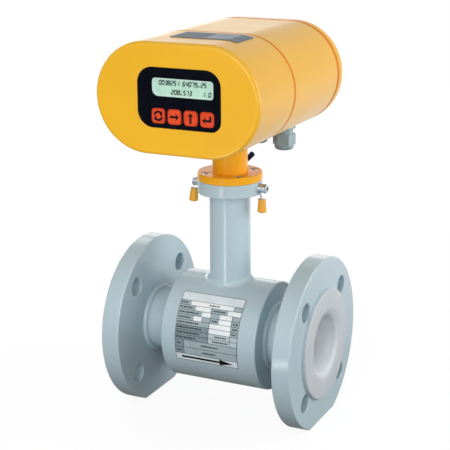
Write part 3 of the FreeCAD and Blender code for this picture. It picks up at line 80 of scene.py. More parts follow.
class Surface:
    """A node material over the object's own coordinates, built up from small steps."""

    def __init__(self, name, roughness, metallic=0.0, **fixed):
        self.material = bpy.data.materials.new(name)
        self.material.use_nodes = True
        self.tree = self.material.node_tree
        self.shader = self.tree.nodes["Principled BSDF"]
        self.shader.inputs["Roughness"].default_value = roughness
        self.shader.inputs["Metallic"].default_value = metallic
        for socket, value in fixed.items():
            self.shader.inputs[socket.replace("_", " ")].default_value = value
        self.place = self.node("ShaderNodeTexCoord").outputs["Object"]

    def node(self, kind, **settings):
        made = self.tree.nodes.new(kind)
        for setting, value in settings.items():
            setattr(made, setting, value)
        return made

    def link(self, start, end):
        self.tree.links.new(start, end)

    def noise(self, size, detail=2.0, stretch=(1, 1, 1)):
        """Cloudy values from 0 to 1 in lumps of this size, drawn out along an axis where stretch is large."""
        mapping = self.node("ShaderNodeMapping")
        mapping.inputs["Scale"].default_value = tuple(1 / (size * factor) for factor in stretch)
        self.link(self.place, mapping.inputs["Vector"])
        texture = self.node("ShaderNodeTexNoise")
        texture.inputs["Scale"].default_value = 1.0
        texture.inputs["Detail"].default_value = detail
        self.link(mapping.outputs["Vector"], texture.inputs["Vector"])
        return texture.outputs["Fac"]

    def span(self, value, low, high, start=0.3, end=0.7):
        """Maps start..end of a value to low..high."""
        mapped = self.node("ShaderNodeMapRange")
        for socket, number in (("From Min", start), ("From Max", end), ("To Min", low), ("To Max", high)):
            mapped.inputs[socket].default_value = number
        self.link(value, mapped.inputs["Value"])
        return mapped.outputs["Result"]

    def mix(self, factor, first, second):
        """Blends two colours, or colour outputs, by a factor output."""
        blend = self.node("ShaderNodeMix", data_type="RGBA")
        self.link(factor, blend.inputs["Factor"])
        for socket, colour in ((blend.inputs[6], first), (blend.inputs[7], second)):
            if isinstance(colour, tuple):
                socket.default_value = colour
            else:
                self.link(colour, socket)
        return blend.outputs[2]

    def axis(self, letter):
        """The place along one axis, in metres."""
        parts = self.node("ShaderNodeSeparateXYZ")
        self.link(self.place, parts.inputs["Vector"])
        return parts.outputs[letter]

    def axis_distance(self):
        """The distance from the pipe's axis, in metres."""
        flat = self.node("ShaderNodeVectorMath", operation="MULTIPLY")
        flat.inputs[1].default_value = (0, 1, 1)
        self.link(self.place, flat.inputs[0])
        length = self.node("ShaderNodeVectorMath", operation="LENGTH")
        self.link(flat.outputs["Vector"], length.inputs[0])
        return length.outputs["Value"]

    def colour(self, source):
        self.link(source, self.shader.inputs["Base Color"])

    def roughness(self, source):
        self.link(source, self.shader.inputs["Roughness"])

    def bump(self, *layers):
        """Stacks height fields, each (value, depth in metres), into the surface normal."""
        normal = None
        for value, depth in layers:
            step = self.node("ShaderNodeBump")
            step.inputs["Strength"].default_value = 1.0
            step.inputs["Distance"].default_value = depth
            self.link(value, step.inputs["Height"])
            if normal is not None:
                self.link(normal, step.inputs["Normal"])
            normal = step.outputs["Normal"]
        self.link(normal, self.shader.inputs["Normal"])


ORANGE_PEEL = 3 * MM
ORANGE_PEEL_DEPTH = 0.0015 * MM


def sprayed(name, colour, roughness, **fixed):
    """Sprayed or powder-coated paint: faint clouds and a soft orange peel."""
    paint = Surface(name, roughness, **fixed)
    paint.colour(paint.mix(paint.span(paint.noise(45 * MM), 0, 1), shade(colour, 0.98), shade(colour, 1.02)))
    paint.roughness(paint.span(paint.noise(30 * MM), roughness - 0.02, roughness + 0.02))
    paint.bump((paint.noise(ORANGE_PEEL), ORANGE_PEEL_DEPTH))
    return paint.material


def plated(name, colour, roughness, tarnish, grain=(1, 1, 1), metallic=1.0):
    """Bright plated or turned metal, with tarnish in soft clouds and fine tool marks."""
    metal = Surface(name, roughness, metallic)
    metal.colour(metal.mix(metal.span(metal.noise(3 * MM, detail=4), 0, 1), colour, tarnish))
    metal.roughness(metal.span(metal.noise(1.2 * MM, detail=3), roughness - 0.08, roughness + 0.12))
    metal.bump((metal.noise(0.5 * MM, stretch=grain), 0.006 * MM))
    return metal.material


def moulded(name, colour, roughness, texture=0.6 * MM, depth=0.01 * MM, **fixed):
    """Moulded plastic or rubber with a fine spark-eroded texture."""
    plastic = Surface(name, roughness, **fixed)
    clouds = plastic.span(plastic.noise(12 * MM), 0, 1)
    plastic.colour(plastic.mix(clouds, shade(colour, 0.94), shade(colour, 1.06)))
    plastic.roughness(plastic.span(plastic.noise(4 * MM), roughness - 0.05, roughness + 0.05))
    plastic.bump((plastic.noise(texture), depth))
    return plastic.material


def printed(name, colour, roughness=0.45):
    """Ink or lacquer: even, with a faint grain and little gloss."""
    return moulded(name, colour, roughness, texture=0.4 * MM, depth=0.002 * MM, Specular_IOR_Level=0.12)


BORE_PAINTED_LIGHT_END = 25.2 * MM      # distances from the pipe's axis, between which the bore's painted light fades out
BORE_PAINTED_LIGHT_GONE = 33 * MM


def liner_plastic():
    """Milky fluoroplastic: waxy and a little translucent. Its paler bore is painted light, a guess from the
    photo.
    """
    wax = Surface("liner_white", 0.42, Subsurface_Weight=0.35, Subsurface_Scale=7 * MM,
                  Specular_IOR_Level=0.35)
    wax.shader.inputs["Subsurface Radius"].default_value = (1.0, 0.95, 0.9)
    clouds = wax.span(wax.noise(25 * MM), 0, 1)
    flare = wax.mix(clouds, rgb(192, 199, 204), rgb(200, 206, 211))
    # Painted light: the bore's paler colour stands in for the light that reaches inside the pipe.
    bore = wax.mix(clouds, rgb(230, 235, 238), rgb(238, 242, 245))
    painted_light_fade = wax.span(wax.axis_distance(), 0, 1, BORE_PAINTED_LIGHT_END, BORE_PAINTED_LIGHT_GONE)
    wax.colour(wax.mix(painted_light_fade, bore, flare))
    wax.roughness(wax.span(wax.noise(6 * MM), 0.36, 0.5))
    wax.bump((wax.noise(3 * MM), 0.02 * MM), (wax.noise(0.5 * MM), 0.003 * MM))
    return wax.material


def foil():
    """Brushed aluminium foil of the nameplate."""
    sheet = Surface("nameplate_foil", 0.42, 0.55)
    sheet.colour(sheet.mix(sheet.span(sheet.noise(8 * MM), 0, 1), rgb(196, 202, 206), rgb(214, 219, 222)))
    sheet.roughness(sheet.span(sheet.noise(0.6 * MM, stretch=(30, 1, 1)), 0.36, 0.5))
    sheet.bump((sheet.noise(0.3 * MM, stretch=(40, 1, 1)), 0.003 * MM))
    return sheet.material


def panel_film():
    """Printed keypad film, blue-black with a satin texture."""
    film = Surface("panel_dark", 0.45, Specular_IOR_Level=0.01)
    film.colour(film.mix(film.span(film.noise(15 * MM), 0, 1), rgb(9, 12, 20), rgb(14, 17, 25)))
    film.roughness(film.span(film.noise(5 * MM), 0.4, 0.5))
    film.bump((film.noise(0.35 * MM), 0.006 * MM))
    return film.material


DISPLAY_EDGE = 2.5 * MM        # width of the paler border inside the window


def display_film(low, high):
    """Pale green reflective display, paler and greyer towards its edges."""
    glass = Surface("display_green", 0.5)
    edge = None
    for letter, start, end in (("X", low.x, high.x), ("Z", low.z, high.z)):
        near = glass.span(glass.axis(letter), 0, 1, start, start + DISPLAY_EDGE)
        far = glass.span(glass.axis(letter), 1, 0, end - DISPLAY_EDGE, end)
        for side in (near, far):
            if edge is None:
                edge = side
                continue
            least = glass.node("ShaderNodeMath", operation="MINIMUM")
            glass.link(edge, least.inputs[0])
            glass.link(side, least.inputs[1])
            edge = least.outputs["Value"]
    clouds = glass.mix(glass.span(glass.noise(6 * MM), 0, 1), rgb(174, 211, 193), rgb(184, 219, 202))
    glass.colour(glass.mix(edge, rgb(200, 224, 212), clouds))
    glass.bump((glass.noise(0.25 * MM), 0.002 * MM))
    return glass.material


def window_glass():
    """Thin clear window over the display."""
    pane = Surface("window_clear", 0.04, Transmission_Weight=1.0, IOR=1.18)
    pane.colour(pane.mix(pane.span(pane.noise(20 * MM), 0, 1), rgb(250, 252, 251), rgb(253, 254, 254)))
    pane.roughness(pane.span(pane.noise(8 * MM), 0.03, 0.07))
    return pane.material


def key_rubber():
    """Orange-red key film with a satin face."""
    key = Surface("key_red", 0.45, Specular_IOR_Level=0.15)
    key.colour(key.mix(key.span(key.noise(5 * MM), 0, 1), rgb(212, 66, 32), rgb(224, 78, 40)))
    key.roughness(key.span(key.noise(2 * MM), 0.4, 0.52))
    key.bump((key.noise(0.4 * MM), 0.006 * MM))
    return key.material


def wound_copper():
    """Enamelled wire seen as fine turns round the coil."""
    wire = Surface("copper_winding", 0.35, 0.9)
    turns = wire.node("ShaderNodeTexWave", bands_direction="Z")
    turns.inputs["Scale"].default_value = 320.0
    turns.inputs["Distortion"].default_value = 0.4
    wire.link(wire.place, turns.inputs["Vector"])
    wire.colour(wire.mix(turns.outputs["Fac"], rgb(120, 58, 26), rgb(206, 120, 66)))
    wire.bump((turns.outputs["Fac"], 0.1 * MM))
    return wire.material


def ribbon():
    """Flat grey ribbon cable, ribbed along its wires."""
    cable = Surface("cable_grey", 0.5)
    ribs = cable.node("ShaderNodeTexWave", bands_direction="X")
    ribs.inputs["Scale"].default_value = 250.0
    cable.link(cable.place, ribs.inputs["Vector"])
    cable.colour(cable.mix(ribs.outputs["Fac"], rgb(120, 124, 128), rgb(150, 154, 158)))
    cable.bump((ribs.outputs["Fac"], 0.08 * MM))
    return cable.material


YELLOW = rgb(236, 178, 36)
GREY = rgb(181, 201, 209)

paints = {
    "grey_paint": sprayed("grey_paint", GREY, 0.23, Specular_IOR_Level=0.4),
    "yellow_paint": sprayed("yellow_paint", YELLOW, 0.3, Specular_IOR_Level=0.42),
    "liner_white": liner_plastic(),
    "stainless": plated("stainless", rgb(206, 206, 204), 0.3, rgb(176, 176, 174), metallic=0.75),
    "zinc_steel": plated("zinc_steel", rgb(220, 230, 236), 0.22, rgb(160, 172, 180), metallic=0.75),
    "magnet_steel": plated("magnet_steel", rgb(120, 124, 130), 0.45, rgb(96, 98, 104), grain=(1, 1, 12)),
    "copper_winding": wound_copper(),
    "insulator": moulded("insulator", rgb(226, 216, 190), 0.5),
    "nameplate_foil": foil(),
    "label_slate": printed("label_slate", rgb(92, 108, 122), 0.4),
    # The gaskets' orange is painted shade: the yellow paint's colour as it looks shaded in the housing's
    # joints.
    "gasket_rubber": moulded("gasket_rubber", rgb(222, 130, 10), 0.6, texture=0.5 * MM,
                             Specular_IOR_Level=0.2),
    "sleeve_yellow": moulded("sleeve_yellow", rgb(226, 164, 40), 0.38, Subsurface_Weight=0.1,
                             Subsurface_Scale=1 * MM),
    "sleeve_blue": moulded("sleeve_blue", rgb(18, 24, 84), 0.35, Specular_IOR_Level=0.3),
    "panel_dark": panel_film(),
    "window_clear": window_glass(),
    "display_green": display_film(*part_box("display_window")),
    "key_red": key_rubber(),
    "board_green": moulded("board_green", rgb(24, 92, 54), 0.4, texture=1.2 * MM),
    "terminal_green": moulded("terminal_green", rgb(44, 132, 74), 0.45),
    "switch_black": moulded("switch_black", rgb(34, 34, 36), 0.5),
    "gland_grey": moulded("gland_grey", rgb(152, 176, 182), 0.42, texture=0.8 * MM),
    "seal_rubber": moulded("seal_rubber", rgb(40, 42, 44), 0.65),
    "cable_grey": ribbon(),
}

for cad_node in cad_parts.values():
    for slot in cad_node.material_slots:
        slot.material = paints[slot.material.name.split(".")[0]]

# A guess from the photo, which shows the converter's neck redder and flatter than the housing:
# this copy of the yellow paint is painted shade, with warm light bounced from the housing above.
neck_painted_shade_coat = sprayed("yellow_neck_painted_shade", rgb(246, 173, 33), 0.3, Specular_IOR_Level=0.16)
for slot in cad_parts["converter_neck"].material_slots:
    slot.material = neck_painted_shade_coat


# Pieces

def piece(name, shape, material, body):
    """Makes a closed mesh into a piece that rides on a body."""
    bmesh.ops.recalc_face_normals(shape, faces=shape.faces)
    data = bpy.data.meshes.new(name)
    shape.to_mesh(data)
    shape.free()
    data.materials.append(material)
    made = bpy.data.objects.new(name, data)
    bpy.context.scene.collection.objects.link(made)
    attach(made, body)
    return made


def prism(shape, outline, back, front):
    """Adds a thin upright plate of this (x, z) outline, from y = back to y = front."""
    behind = [shape.verts.new((x, back, z)) for x, z in outline]
    ahead = [shape.verts.new((x, front, z)) for x, z in outline]
    shape.faces.new(ahead)
    shape.faces.new(behind[::-1])
    for i in range(len(outline)):
        j = (i + 1) % len(outline)
        shape.faces.new((behind[i], behind[j], ahead[j], ahead[i]))


def band(shape, outer, inner, back, front):
    """Adds a thin upright ring between two outlines with as many points, from y = back to y = front."""
    loops = [[shape.verts.new((x, y, z)) for x, z in outline]
             for outline, y in ((outer, back), (outer, front), (inner, front), (inner, back))]
    for loop, after in zip(loops, loops[1:] + loops[:1]):
        for i in range(len(loop)):
            j = (i + 1) % len(loop)
            shape.faces.new((loop[i], loop[j], after[j], after[i]))


def rounded(x, z, width, height, radii, steps=8):
    """Outline of a rectangle about (x, z), with corner radii from the top right, anticlockwise."""
    corners = ((1, 1, 0), (-1, 1, 90), (-1, -1, 180), (1, -1, 270))
    points = []
    for (side, top, start), radius in zip(corners, radii):
        middle_x = x + side * (width / 2 - radius)
        middle_z = z + top * (height / 2 - radius)
        for step in range(steps + 1):
            angle = math.radians(start + 90 * step / steps)
            points.append((middle_x + radius * math.cos(angle), middle_z + radius * math.sin(angle)))
    return points


def stroke(start, end, width):
    """Outline of a straight stroke with pointed ends, as a display segment has."""
    along = (Vector(end) - Vector(start)).normalized()
    across = Vector((-along.y, along.x)) * width / 2
    tip = along * width / 2
    a, b = Vector(start), Vector(end)
    return [tuple(p) for p in (a, a + tip + across, b - tip + across, b, b - tip - across, a + tip - across)]


def lathe(shape, outline, steps=160):
    """Adds a closed solid turned about the pipe's axis from an outline of (x, radius)."""
    rings = []
    for step in range(steps):
        angle = 2 * math.pi * step / steps
        rings.append([shape.verts.new((x, r * math.cos(angle), r * math.sin(angle))) for x, r in outline])
    for ring, after in zip(rings, rings[1:] + rings[:1]):
        for i in range(len(outline)):
            j = (i + 1) % len(outline)
            shape.faces.new((ring[i], ring[j], after[j], after[i]))


def quarter(x, r, radius, steps):
    """Points of a quarter circle about (x, r), from its far end along the pipe to its outermost point."""
    angles = [math.radians(90 * step / steps) for step in range(steps + 1)]
    return [(x + radius * math.cos(angle), r + radius * math.sin(angle)) for angle in angles]


def bend(controls, face, steps):
    """Points of a smooth bend from its four controls, each (depth behind the face, radius) in mm."""
    points = []
    for step in range(steps + 1):
        t = step / steps
        shares = (1 - t) ** 3, 3 * t * (1 - t) ** 2, 3 * t * t * (1 - t), t ** 3
        depth, radius = (sum(share * control[i] for share, control in zip(shares, controls))
                         for i in (0, 1))
        points.append((face - depth * MM, radius * MM))
    return points


def smooth(made, crease=35):
    """Smooth shading, with the edges sharper than crease degrees kept sharp."""
    data = bmesh.new()
    data.from_mesh(made.data)
    for face in data.faces:
        face.smooth = True
    for edge in data.edges:
        edge.smooth = len(edge.link_faces) == 2 and edge.calc_face_angle(0) < math.radians(crease)
    data.to_mesh(made.data)
    data.free()


# Liner and the flanges' raised faces

BORE_RADIUS = 25 * MM
LINER_WALL = 3.15 * MM
ENTRY_BEND = ((16.0, 25.0), (10.0, 25.0), (5.5, 26.2), (3.5, 27.95))   # (depth, radius) in mm
LIP_BEND = ((3.5, 27.95), (2.1, 29.2), (0.0, 32.5), (0.0, 36.0))
FLARE_FOOT = 43 * MM           # radius inside which the liner reaches down to the steel
FLARE_LIP = 1.1 * MM           # rounding of the flare's rim
FLARE_THICKNESS = 1.8 * MM
RAISED_CHAMFER = 0.4 * MM
SINK = 0.05 * MM               # raised faces into the steel, and clearance round the electrodes


def make_liner():
    """The liner, flared thinly over both raised faces, with a wide rounded entry."""
    face = cad_high.x
    flare_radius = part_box("liner")[1].y
    back = face - FLARE_THICKNESS
    outside = BORE_RADIUS + LINER_WALL
    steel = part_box("flange_outlet")[1].x
    half = [(0.0, BORE_RADIUS)]
    half += bend(ENTRY_BEND, face, 8) + bend(LIP_BEND, face, 10)[1:]
    half += quarter(face - FLARE_LIP, flare_radius - FLARE_LIP, FLARE_LIP, 5)
    half += [(back, flare_radius), (back, FLARE_FOOT), (steel, FLARE_FOOT), (steel, outside), (0.0, outside)]
    outline = half + [(-x, r) for x, r in half[-2:0:-1]]
    shape = bmesh.new()
    lathe(shape, outline)
    liner = piece("liner_dressed", shape, paints["liner_white"], METER)
    drill_electrodes(liner)
    smooth(liner)
    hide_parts("liner")


def drill_electrodes(liner):
    """Lets the two electrode heads show in the bore."""
    low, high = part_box("electrodes")
    drill = bmesh.new()
    across = Matrix.Rotation(math.radians(90), 4, "X")
    bmesh.ops.create_cone(drill, cap_ends=True, segments=48, radius1=high.z + SINK, radius2=high.z + SINK,
                          depth=high.y - low.y, matrix=across)
    data = bpy.data.meshes.new("drill")
    drill.to_mesh(data)
    drill.free()
    tool = bpy.data.objects.new("drill", data)
    bpy.context.scene.collection.objects.link(tool)
    cut = liner.modifiers.new("electrode_holes", "BOOLEAN")
    cut.object = tool
    cut.solver = "EXACT"
    graph = bpy.context.evaluated_depsgraph_get()
    result = bpy.data.meshes.new_from_object(liner.evaluated_get(graph))
    liner.modifiers.clear()
    liner.data = result
    bpy.data.objects.remove(tool)


def make_raised_faces():
    """The painted raised face of each flange, under the liner's flare. The CAD's flanges are flat there."""
    flare_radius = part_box("liner")[1].y
    for name, side in (("raised_face_inlet", -1), ("raised_face_outlet", 1)):
        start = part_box("flange_outlet")[1].x - SINK
        end = cad_high.x - FLARE_THICKNESS
        rim = flare_radius + RAISED_CHAMFER
        outline = [(start, FLARE_FOOT), (start, rim), (end - RAISED_CHAMFER, rim), (end, flare_radius),
                   (end, FLARE_FOOT)]
        shape = bmesh.new()
        lathe(shape, [(side * x, r) for x, r in outline])
        smooth(piece(name, shape, paints["grey_paint"], METER))


make_liner()
make_raised_faces()


# Seams of the housing, widened with painted shade

# Each band is a gasket's edge widened with painted shade, which stands for the shaded groove of the joint.
SEAM_FRONT = 3.6 * MM          # widths: guesses, far wider than the gaskets, so that the lines show
SEAM_REAR = 5.6 * MM
SEAM_OFF = 0.5 * MM            # middle of each gasket, beyond the middle shell
SEAM_PROUD = 0.03 * MM
SEAM_DEPTH = 0.8 * MM
SEAM_STEPS = 48


def make_seam_shade_bands():
    """The two cover joints as dark orange bands round the housing: gasket edges, widened with painted shade
    of the grooves.
    """
    low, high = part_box("middle_shell")
    wide, tall = high.x - low.x, high.z - low.z
    middle = (low.x + high.x) / 2, (low.z + high.z) / 2

    def edge(grown):
        radius = tall / 2 + grown
        return rounded(*middle, wide + 2 * grown, tall + 2 * grown, (radius,) * 4, SEAM_STEPS)

    for name, centre, width in (("seam_front_painted_shade", low.y - SEAM_OFF, SEAM_FRONT),
                                ("seam_rear_painted_shade", high.y + SEAM_OFF, SEAM_REAR)):
        shape = bmesh.new()
        band(shape, edge(SEAM_PROUD), edge(-SEAM_DEPTH), centre - width / 2, centre + width / 2)
        smooth(piece(name, shape, paints["gasket_rubber"], METER))


make_seam_shade_bands()


# Display window and digits

window_low, window_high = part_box("display_window")
module_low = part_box("display_module")[0]
INK_DEPTH = 0.04 * MM
WINDOW_CORNERS = (2.8 * MM, 2.8 * MM, 6 * MM, 2.8 * MM)
WINDOW_INSET = 0.02 * MM
PANE_GAP = 0.1 * MM


def make_window():
    """The clear pane, a hair in front of the display behind it."""
    shape = bmesh.new()
    size = window_high - window_low
    middle = (window_high + window_low) / 2
    width, height = size.x - 2 * WINDOW_INSET, size.z - 2 * WINDOW_INSET
    outline = rounded(middle.x, middle.z, width, height, WINDOW_CORNERS)
    prism(shape, outline, window_high.y - PANE_GAP, window_low.y)
    pane = piece("window_pane", shape, paints["window_clear"], METER)
    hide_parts("display_window")


DIGIT_SEGMENTS = {
    "0": "abcdef", "1": "bc", "2": "abged", "3": "abgcd", "4": "fgbc",
    "5": "afgcd", "6": "afgedc", "7": "abc", "8": "abcdefg", "9": "gfabcd",
}
DIGIT_WIDTH = 1.9 * MM
DIGIT_HEIGHT = 3.7 * MM
DIGIT_STROKE = 0.95 * MM
DIGIT_SLANT = 0.2              # lean to the right, as a share of the height
DIGIT_PITCH = 2.85 * MM
TOP_ROW_DOWN = 2.1 * MM        # from the window's upper edge to the digits
LOW_ROW_UP = 2.2 * MM          # from the window's lower edge to the digits
COUNT_IN = 6.2 * MM            # from the window's left edge
RATE_IN = 18.0 * MM            # from the window's left edge
GROUP_IN = 10.8 * MM           # from the window's right edge
SEGMENT_ENDS = {
    "a": ((0, 1), (1, 1)), "b": ((1, 1), (1, 0.5)), "c": ((1, 0.5), (1, 0)), "d": ((0, 0), (1, 0)),
    "e": ((0, 0.5), (0, 0)), "f": ((0, 1), (0, 0.5)), "g": ((0, 0.5), (1, 0.5)),
}


def write_number(shape, digits, left, base):
    """Adds slanted display digits whose first one starts at x = left and stands on z = base."""
    y_back = module_low.y
    y_front = module_low.y - INK_DEPTH
    for index, digit in enumerate(digits):
        start = left + index * DIGIT_PITCH
        if digit == " ":
            continue
        if digit == ".":
            dot = DIGIT_STROKE * 0.75
            centre = (start + DIGIT_PITCH * 0.3, base + dot / 2)
            prism(shape, rounded(*centre, 2 * dot, 2 * dot, [dot * 0.6] * 4, 3), y_back, y_front)
            continue
        for segment in DIGIT_SEGMENTS[digit]:
            ends = []
            for across, up in SEGMENT_ENDS[segment]:
                lean = DIGIT_SLANT * DIGIT_HEIGHT * up
                ends.append((start + across * DIGIT_WIDTH + lean, base + up * DIGIT_HEIGHT))
            prism(shape, stroke(*ends, DIGIT_STROKE), y_back, y_front)


def make_digits():
    """Two rows of plain numbers: a long count, and below it a rate with a small group at the right."""
    shape = bmesh.new()
    top_row = window_high.z - TOP_ROW_DOWN - DIGIT_HEIGHT
    low_row = window_low.z + LOW_ROW_UP
    write_number(shape, "0038251 64079.25", window_low.x + COUNT_IN, top_row)
    write_number(shape, "208.573", window_low.x + RATE_IN, low_row)
    write_number(shape, "1 0", window_high.x - GROUP_IN, low_row)
    ink = printed("display_ink", rgb(6, 14, 16), 0.5)
    piece("display_digits", shape, ink, METER)


make_window()
make_digits()


# Keys

GLYPH_RISE = 0.04 * MM
GLYPH_WIDTH = 1.95 * MM
ARROW_HEAD = 3.5 * MM          # length of a straight arrow's head
ARROW_BARB = 3.3 * MM          # half its width
ENTER_BARB = 3.2 * MM
SWIRL_RADIUS = 3.6 * MM
SWIRL_SWEEP = 124              # degrees of each arc arrow's shaft
SWIRL_HEAD = 3.0 * MM
SWIRL_STEPS = 14
KEY_RADIUS = 3.3 * MM
RIM_INSET = 0.45 * MM          # from the key's edge
RIM_WIDTH = 0.4 * MM
glyph_ink = printed("glyph_ink", rgb(14, 6, 10), 0.5)
key_edge = printed("key_edge", rgb(158, 46, 28), 0.5)


def arrow(tail, tip, barb=ARROW_BARB):
    """Outline of a straight arrow from tail to tip, with a notch behind its head."""
    a, b = Vector(tail), Vector(tip)
    along = (b - a).normalized()
    across = Vector((-along.y, along.x))
    half = across * GLYPH_WIDTH / 2
    neck = b - along * ARROW_HEAD
    wing = across * barb
    notch = b - along * ARROW_HEAD * 0.8
    return [tuple(p) for p in (a + half, notch + half, neck + wing, b, neck - wing, notch - half, a - half)]


def swirl(x, z, start):
    """Outline of an arc arrow about (x, z), clockwise from its start angle in degrees."""
    def at(radius, angle):
        return x + radius * math.cos(angle), z + radius * math.sin(angle)

    angles = [math.radians(start - SWIRL_SWEEP * step / SWIRL_STEPS) for step in range(SWIRL_STEPS + 1)]
    outer, inner = ([at(SWIRL_RADIUS + half, angle) for angle in angles]
                    for half in (GLYPH_WIDTH / 2, -GLYPH_WIDTH / 2))
    barb = SWIRL_HEAD * 0.72
    point = at(SWIRL_RADIUS, angles[-1] - SWIRL_HEAD / SWIRL_RADIUS)
    wings = [at(SWIRL_RADIUS + side * barb, angles[-1]) for side in (1, -1)]
    return outer + [wings[0], point, wings[1]] + inner[::-1]


def cycle_glyph(x, z):
    """Two arc arrows chasing each other."""
    return [swirl(x, z, start) for start in (170, 350)]


def right_glyph(x, z):
    return [arrow((x - 4.4 * MM, z), (x + 4.5 * MM, z))]


def up_glyph(x, z):
    return [arrow((x, z - 4.5 * MM), (x, z + 4.6 * MM))]


def enter_glyph(x, z):
    """An arrow that comes down and turns left."""
    right, low, high = x + 3.2 * MM, z - 0.9 * MM, z + 3.6 * MM
    half = GLYPH_WIDTH / 2
    head = arrow((right + half, low), (x - 4.5 * MM, low), ENTER_BARB)
    riser = [(right - half, low + half), (right + half, low + half),
             (right + half, high), (right - half, high)]
    return [head, riser]


def make_key(body, glyph):
    """The printed glyph and the darker rim of one key, which ride on it."""
    low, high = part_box(body)
    face = low.y
    x, z = (low.x + high.x) / 2, KEY_ROW_Z
    size = high.x - low.x

    def edge(inset):
        return rounded(x, z, size - 2 * inset, size - 2 * inset, [KEY_RADIUS - inset] * 4)

    rim = bmesh.new()
    band(rim, edge(RIM_INSET), edge(RIM_INSET + RIM_WIDTH), face + GLYPH_RISE, face - GLYPH_RISE / 2)
    piece(body + "_rim", rim, key_edge, body)
    print_shape = bmesh.new()
    for outline in glyph(x, z):
        prism(print_shape, outline, face + GLYPH_RISE, face - GLYPH_RISE)
    piece(body + "_glyph", print_shape, glyph_ink, body)


key_low, key_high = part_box("key_cycle")
KEY_ROW_Z = (key_low.z + key_high.z) / 2
for key_body, key_glyph in (("key_cycle", cycle_glyph), ("key_right", right_glyph),
                            ("key_up", up_glyph), ("key_enter", enter_glyph)):
    make_key(key_body, key_glyph)


# Nameplate print, wrapped round the coil housing

plate_low, plate_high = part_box("nameplate")
PLATE_RADIUS = -plate_low.y
PLATE_TOP = math.asin(plate_high.z / PLATE_RADIUS)
PLATE_BOTTOM = math.asin(plate_low.z / PLATE_RADIUS)
PLATE_HEIGHT = (PLATE_TOP - PLATE_BOTTOM) * PLATE_RADIUS
PLATE_LEFT, PLATE_RIGHT = plate_low.x, plate_high.x
WRAP_STEP = 1.5 * MM
PRINT_BACK = 0.1 * MM          # how far print reaches under the plate's face
PRINT_LAYER = 0.01 * MM        # rise of each layer of print over the one below it
PLATE_INSET = 0.12 * MM


def wrapped(shape, left, right, top, bottom, layer):
    """Adds a curved field of print: x from left to right, and distances down from the plate's top edge."""
    front = PLATE_RADIUS + layer * PRINT_LAYER
    back = PLATE_RADIUS - PRINT_BACK
    steps = max(1, math.ceil((bottom - top) / WRAP_STEP))
    rows = []
    for step in range(steps + 1):
        angle = PLATE_TOP - (top + (bottom - top) * step / steps) / PLATE_RADIUS
        corners = []
        for radius, x in ((back, left), (back, right), (front, right), (front, left)):
            corners.append(shape.verts.new((x, -radius * math.cos(angle), radius * math.sin(angle))))
        rows.append(corners)
    for row, after in zip(rows, rows[1:]):
        for i in range(4):
            j = (i + 1) % 4
            shape.faces.new((row[i], row[j], after[j], after[i]))
    shape.faces.new(rows[0])
    shape.faces.new(rows[-1][::-1])


HEADER = 9.4 * MM
ROW = 4.8 * MM
ROWS = 8
TALL_ROW = 7.3 * MM
TALL_ROWS = 2
GRID_FOOT = HEADER + ROWS * ROW
TABLE_FOOT = GRID_FOOT + TALL_ROWS * TALL_ROW
CODE_COLUMN = -24.3 * MM       # x of the upright lines
DIVIDER = 1.0 * MM
UNIT_COLUMN = 23.4 * MM
LINE = 0.4 * MM
ink_white = printed("plate_white", rgb(240, 246, 250))
ink_header = printed("plate_header", rgb(222, 232, 238))
ink_pale = printed("plate_pale", rgb(188, 202, 208))
ink_middle = printed("plate_middle", rgb(164, 180, 186))
ink_grey = printed("plate_grey", rgb(132, 148, 154))
ink_print = printed("plate_print", rgb(40, 46, 50))
ink_dark = printed("plate_dark", rgb(8, 9, 11))

# Cells of each row, as (left, right) in millimetres along the pipe; the rest of a row is middle grey.
WHITE_CELLS = {
    1: ((-21.8, 22.3),), 2: ((-15.7, -0.5), (17.7, 31.0)), 3: ((-8.2, 1.0), (10.4, 22.8)),
    4: ((-15.8, -7.7), (10.4, 22.8)), 5: ((1.0, 23.4),), 6: ((1.0, 23.4),),
}
PALE_CELLS = {7: ((1.0, 31.0),), 8: ((1.0, 31.0),)}
GREY_CELLS = {6: ((-33.0, 1.0),), 7: ((-33.0, 1.0),), 8: ((-33.0, 1.0),),
              9: ((-33.0, -24.3),), 10: ((-33.0, -24.3),)}


def row_span(row):
    """Top and bottom of a row, down from the plate's top edge."""
    if row <= ROWS:
        top = HEADER + (row - 1) * ROW
        return top, top + ROW
    top = GRID_FOOT + (row - ROWS - 1) * TALL_ROW
    return top, top + TALL_ROW


def make_cells(name, cells, ink, layer):
    """One layer of coloured cells."""
    shape = bmesh.new()
    for row, spans in cells.items():
        top, bottom = row_span(row)
        for left, right in spans:
            wrapped(shape, left * MM, right * MM, top, bottom, layer)
    piece(name, shape, ink, METER)


def make_nameplate():
    """Header, table of fields, lines, bars in place of print, and the flow arrow."""
    inset = PLATE_INSET
    left, right = PLATE_LEFT + inset, PLATE_RIGHT - inset
    foot = PLATE_HEIGHT - inset

    header = bmesh.new()
    wrapped(header, left, right, inset, HEADER, 3)
    wrapped(header, left, right, TABLE_FOOT, foot, 3)
    piece("nameplate_header", header, ink_header, METER)

    ground = bmesh.new()
    wrapped(ground, left, right, HEADER, TABLE_FOOT, 2)
    piece("nameplate_ground", ground, ink_middle, METER)

    make_cells("nameplate_white", WHITE_CELLS, ink_white, 4)
    make_cells("nameplate_pale", PALE_CELLS, ink_pale, 4)
    make_cells("nameplate_grey", GREY_CELLS, ink_grey, 3)
    make_lines(left, right, foot)
    make_bars()
    make_flow_arrow()


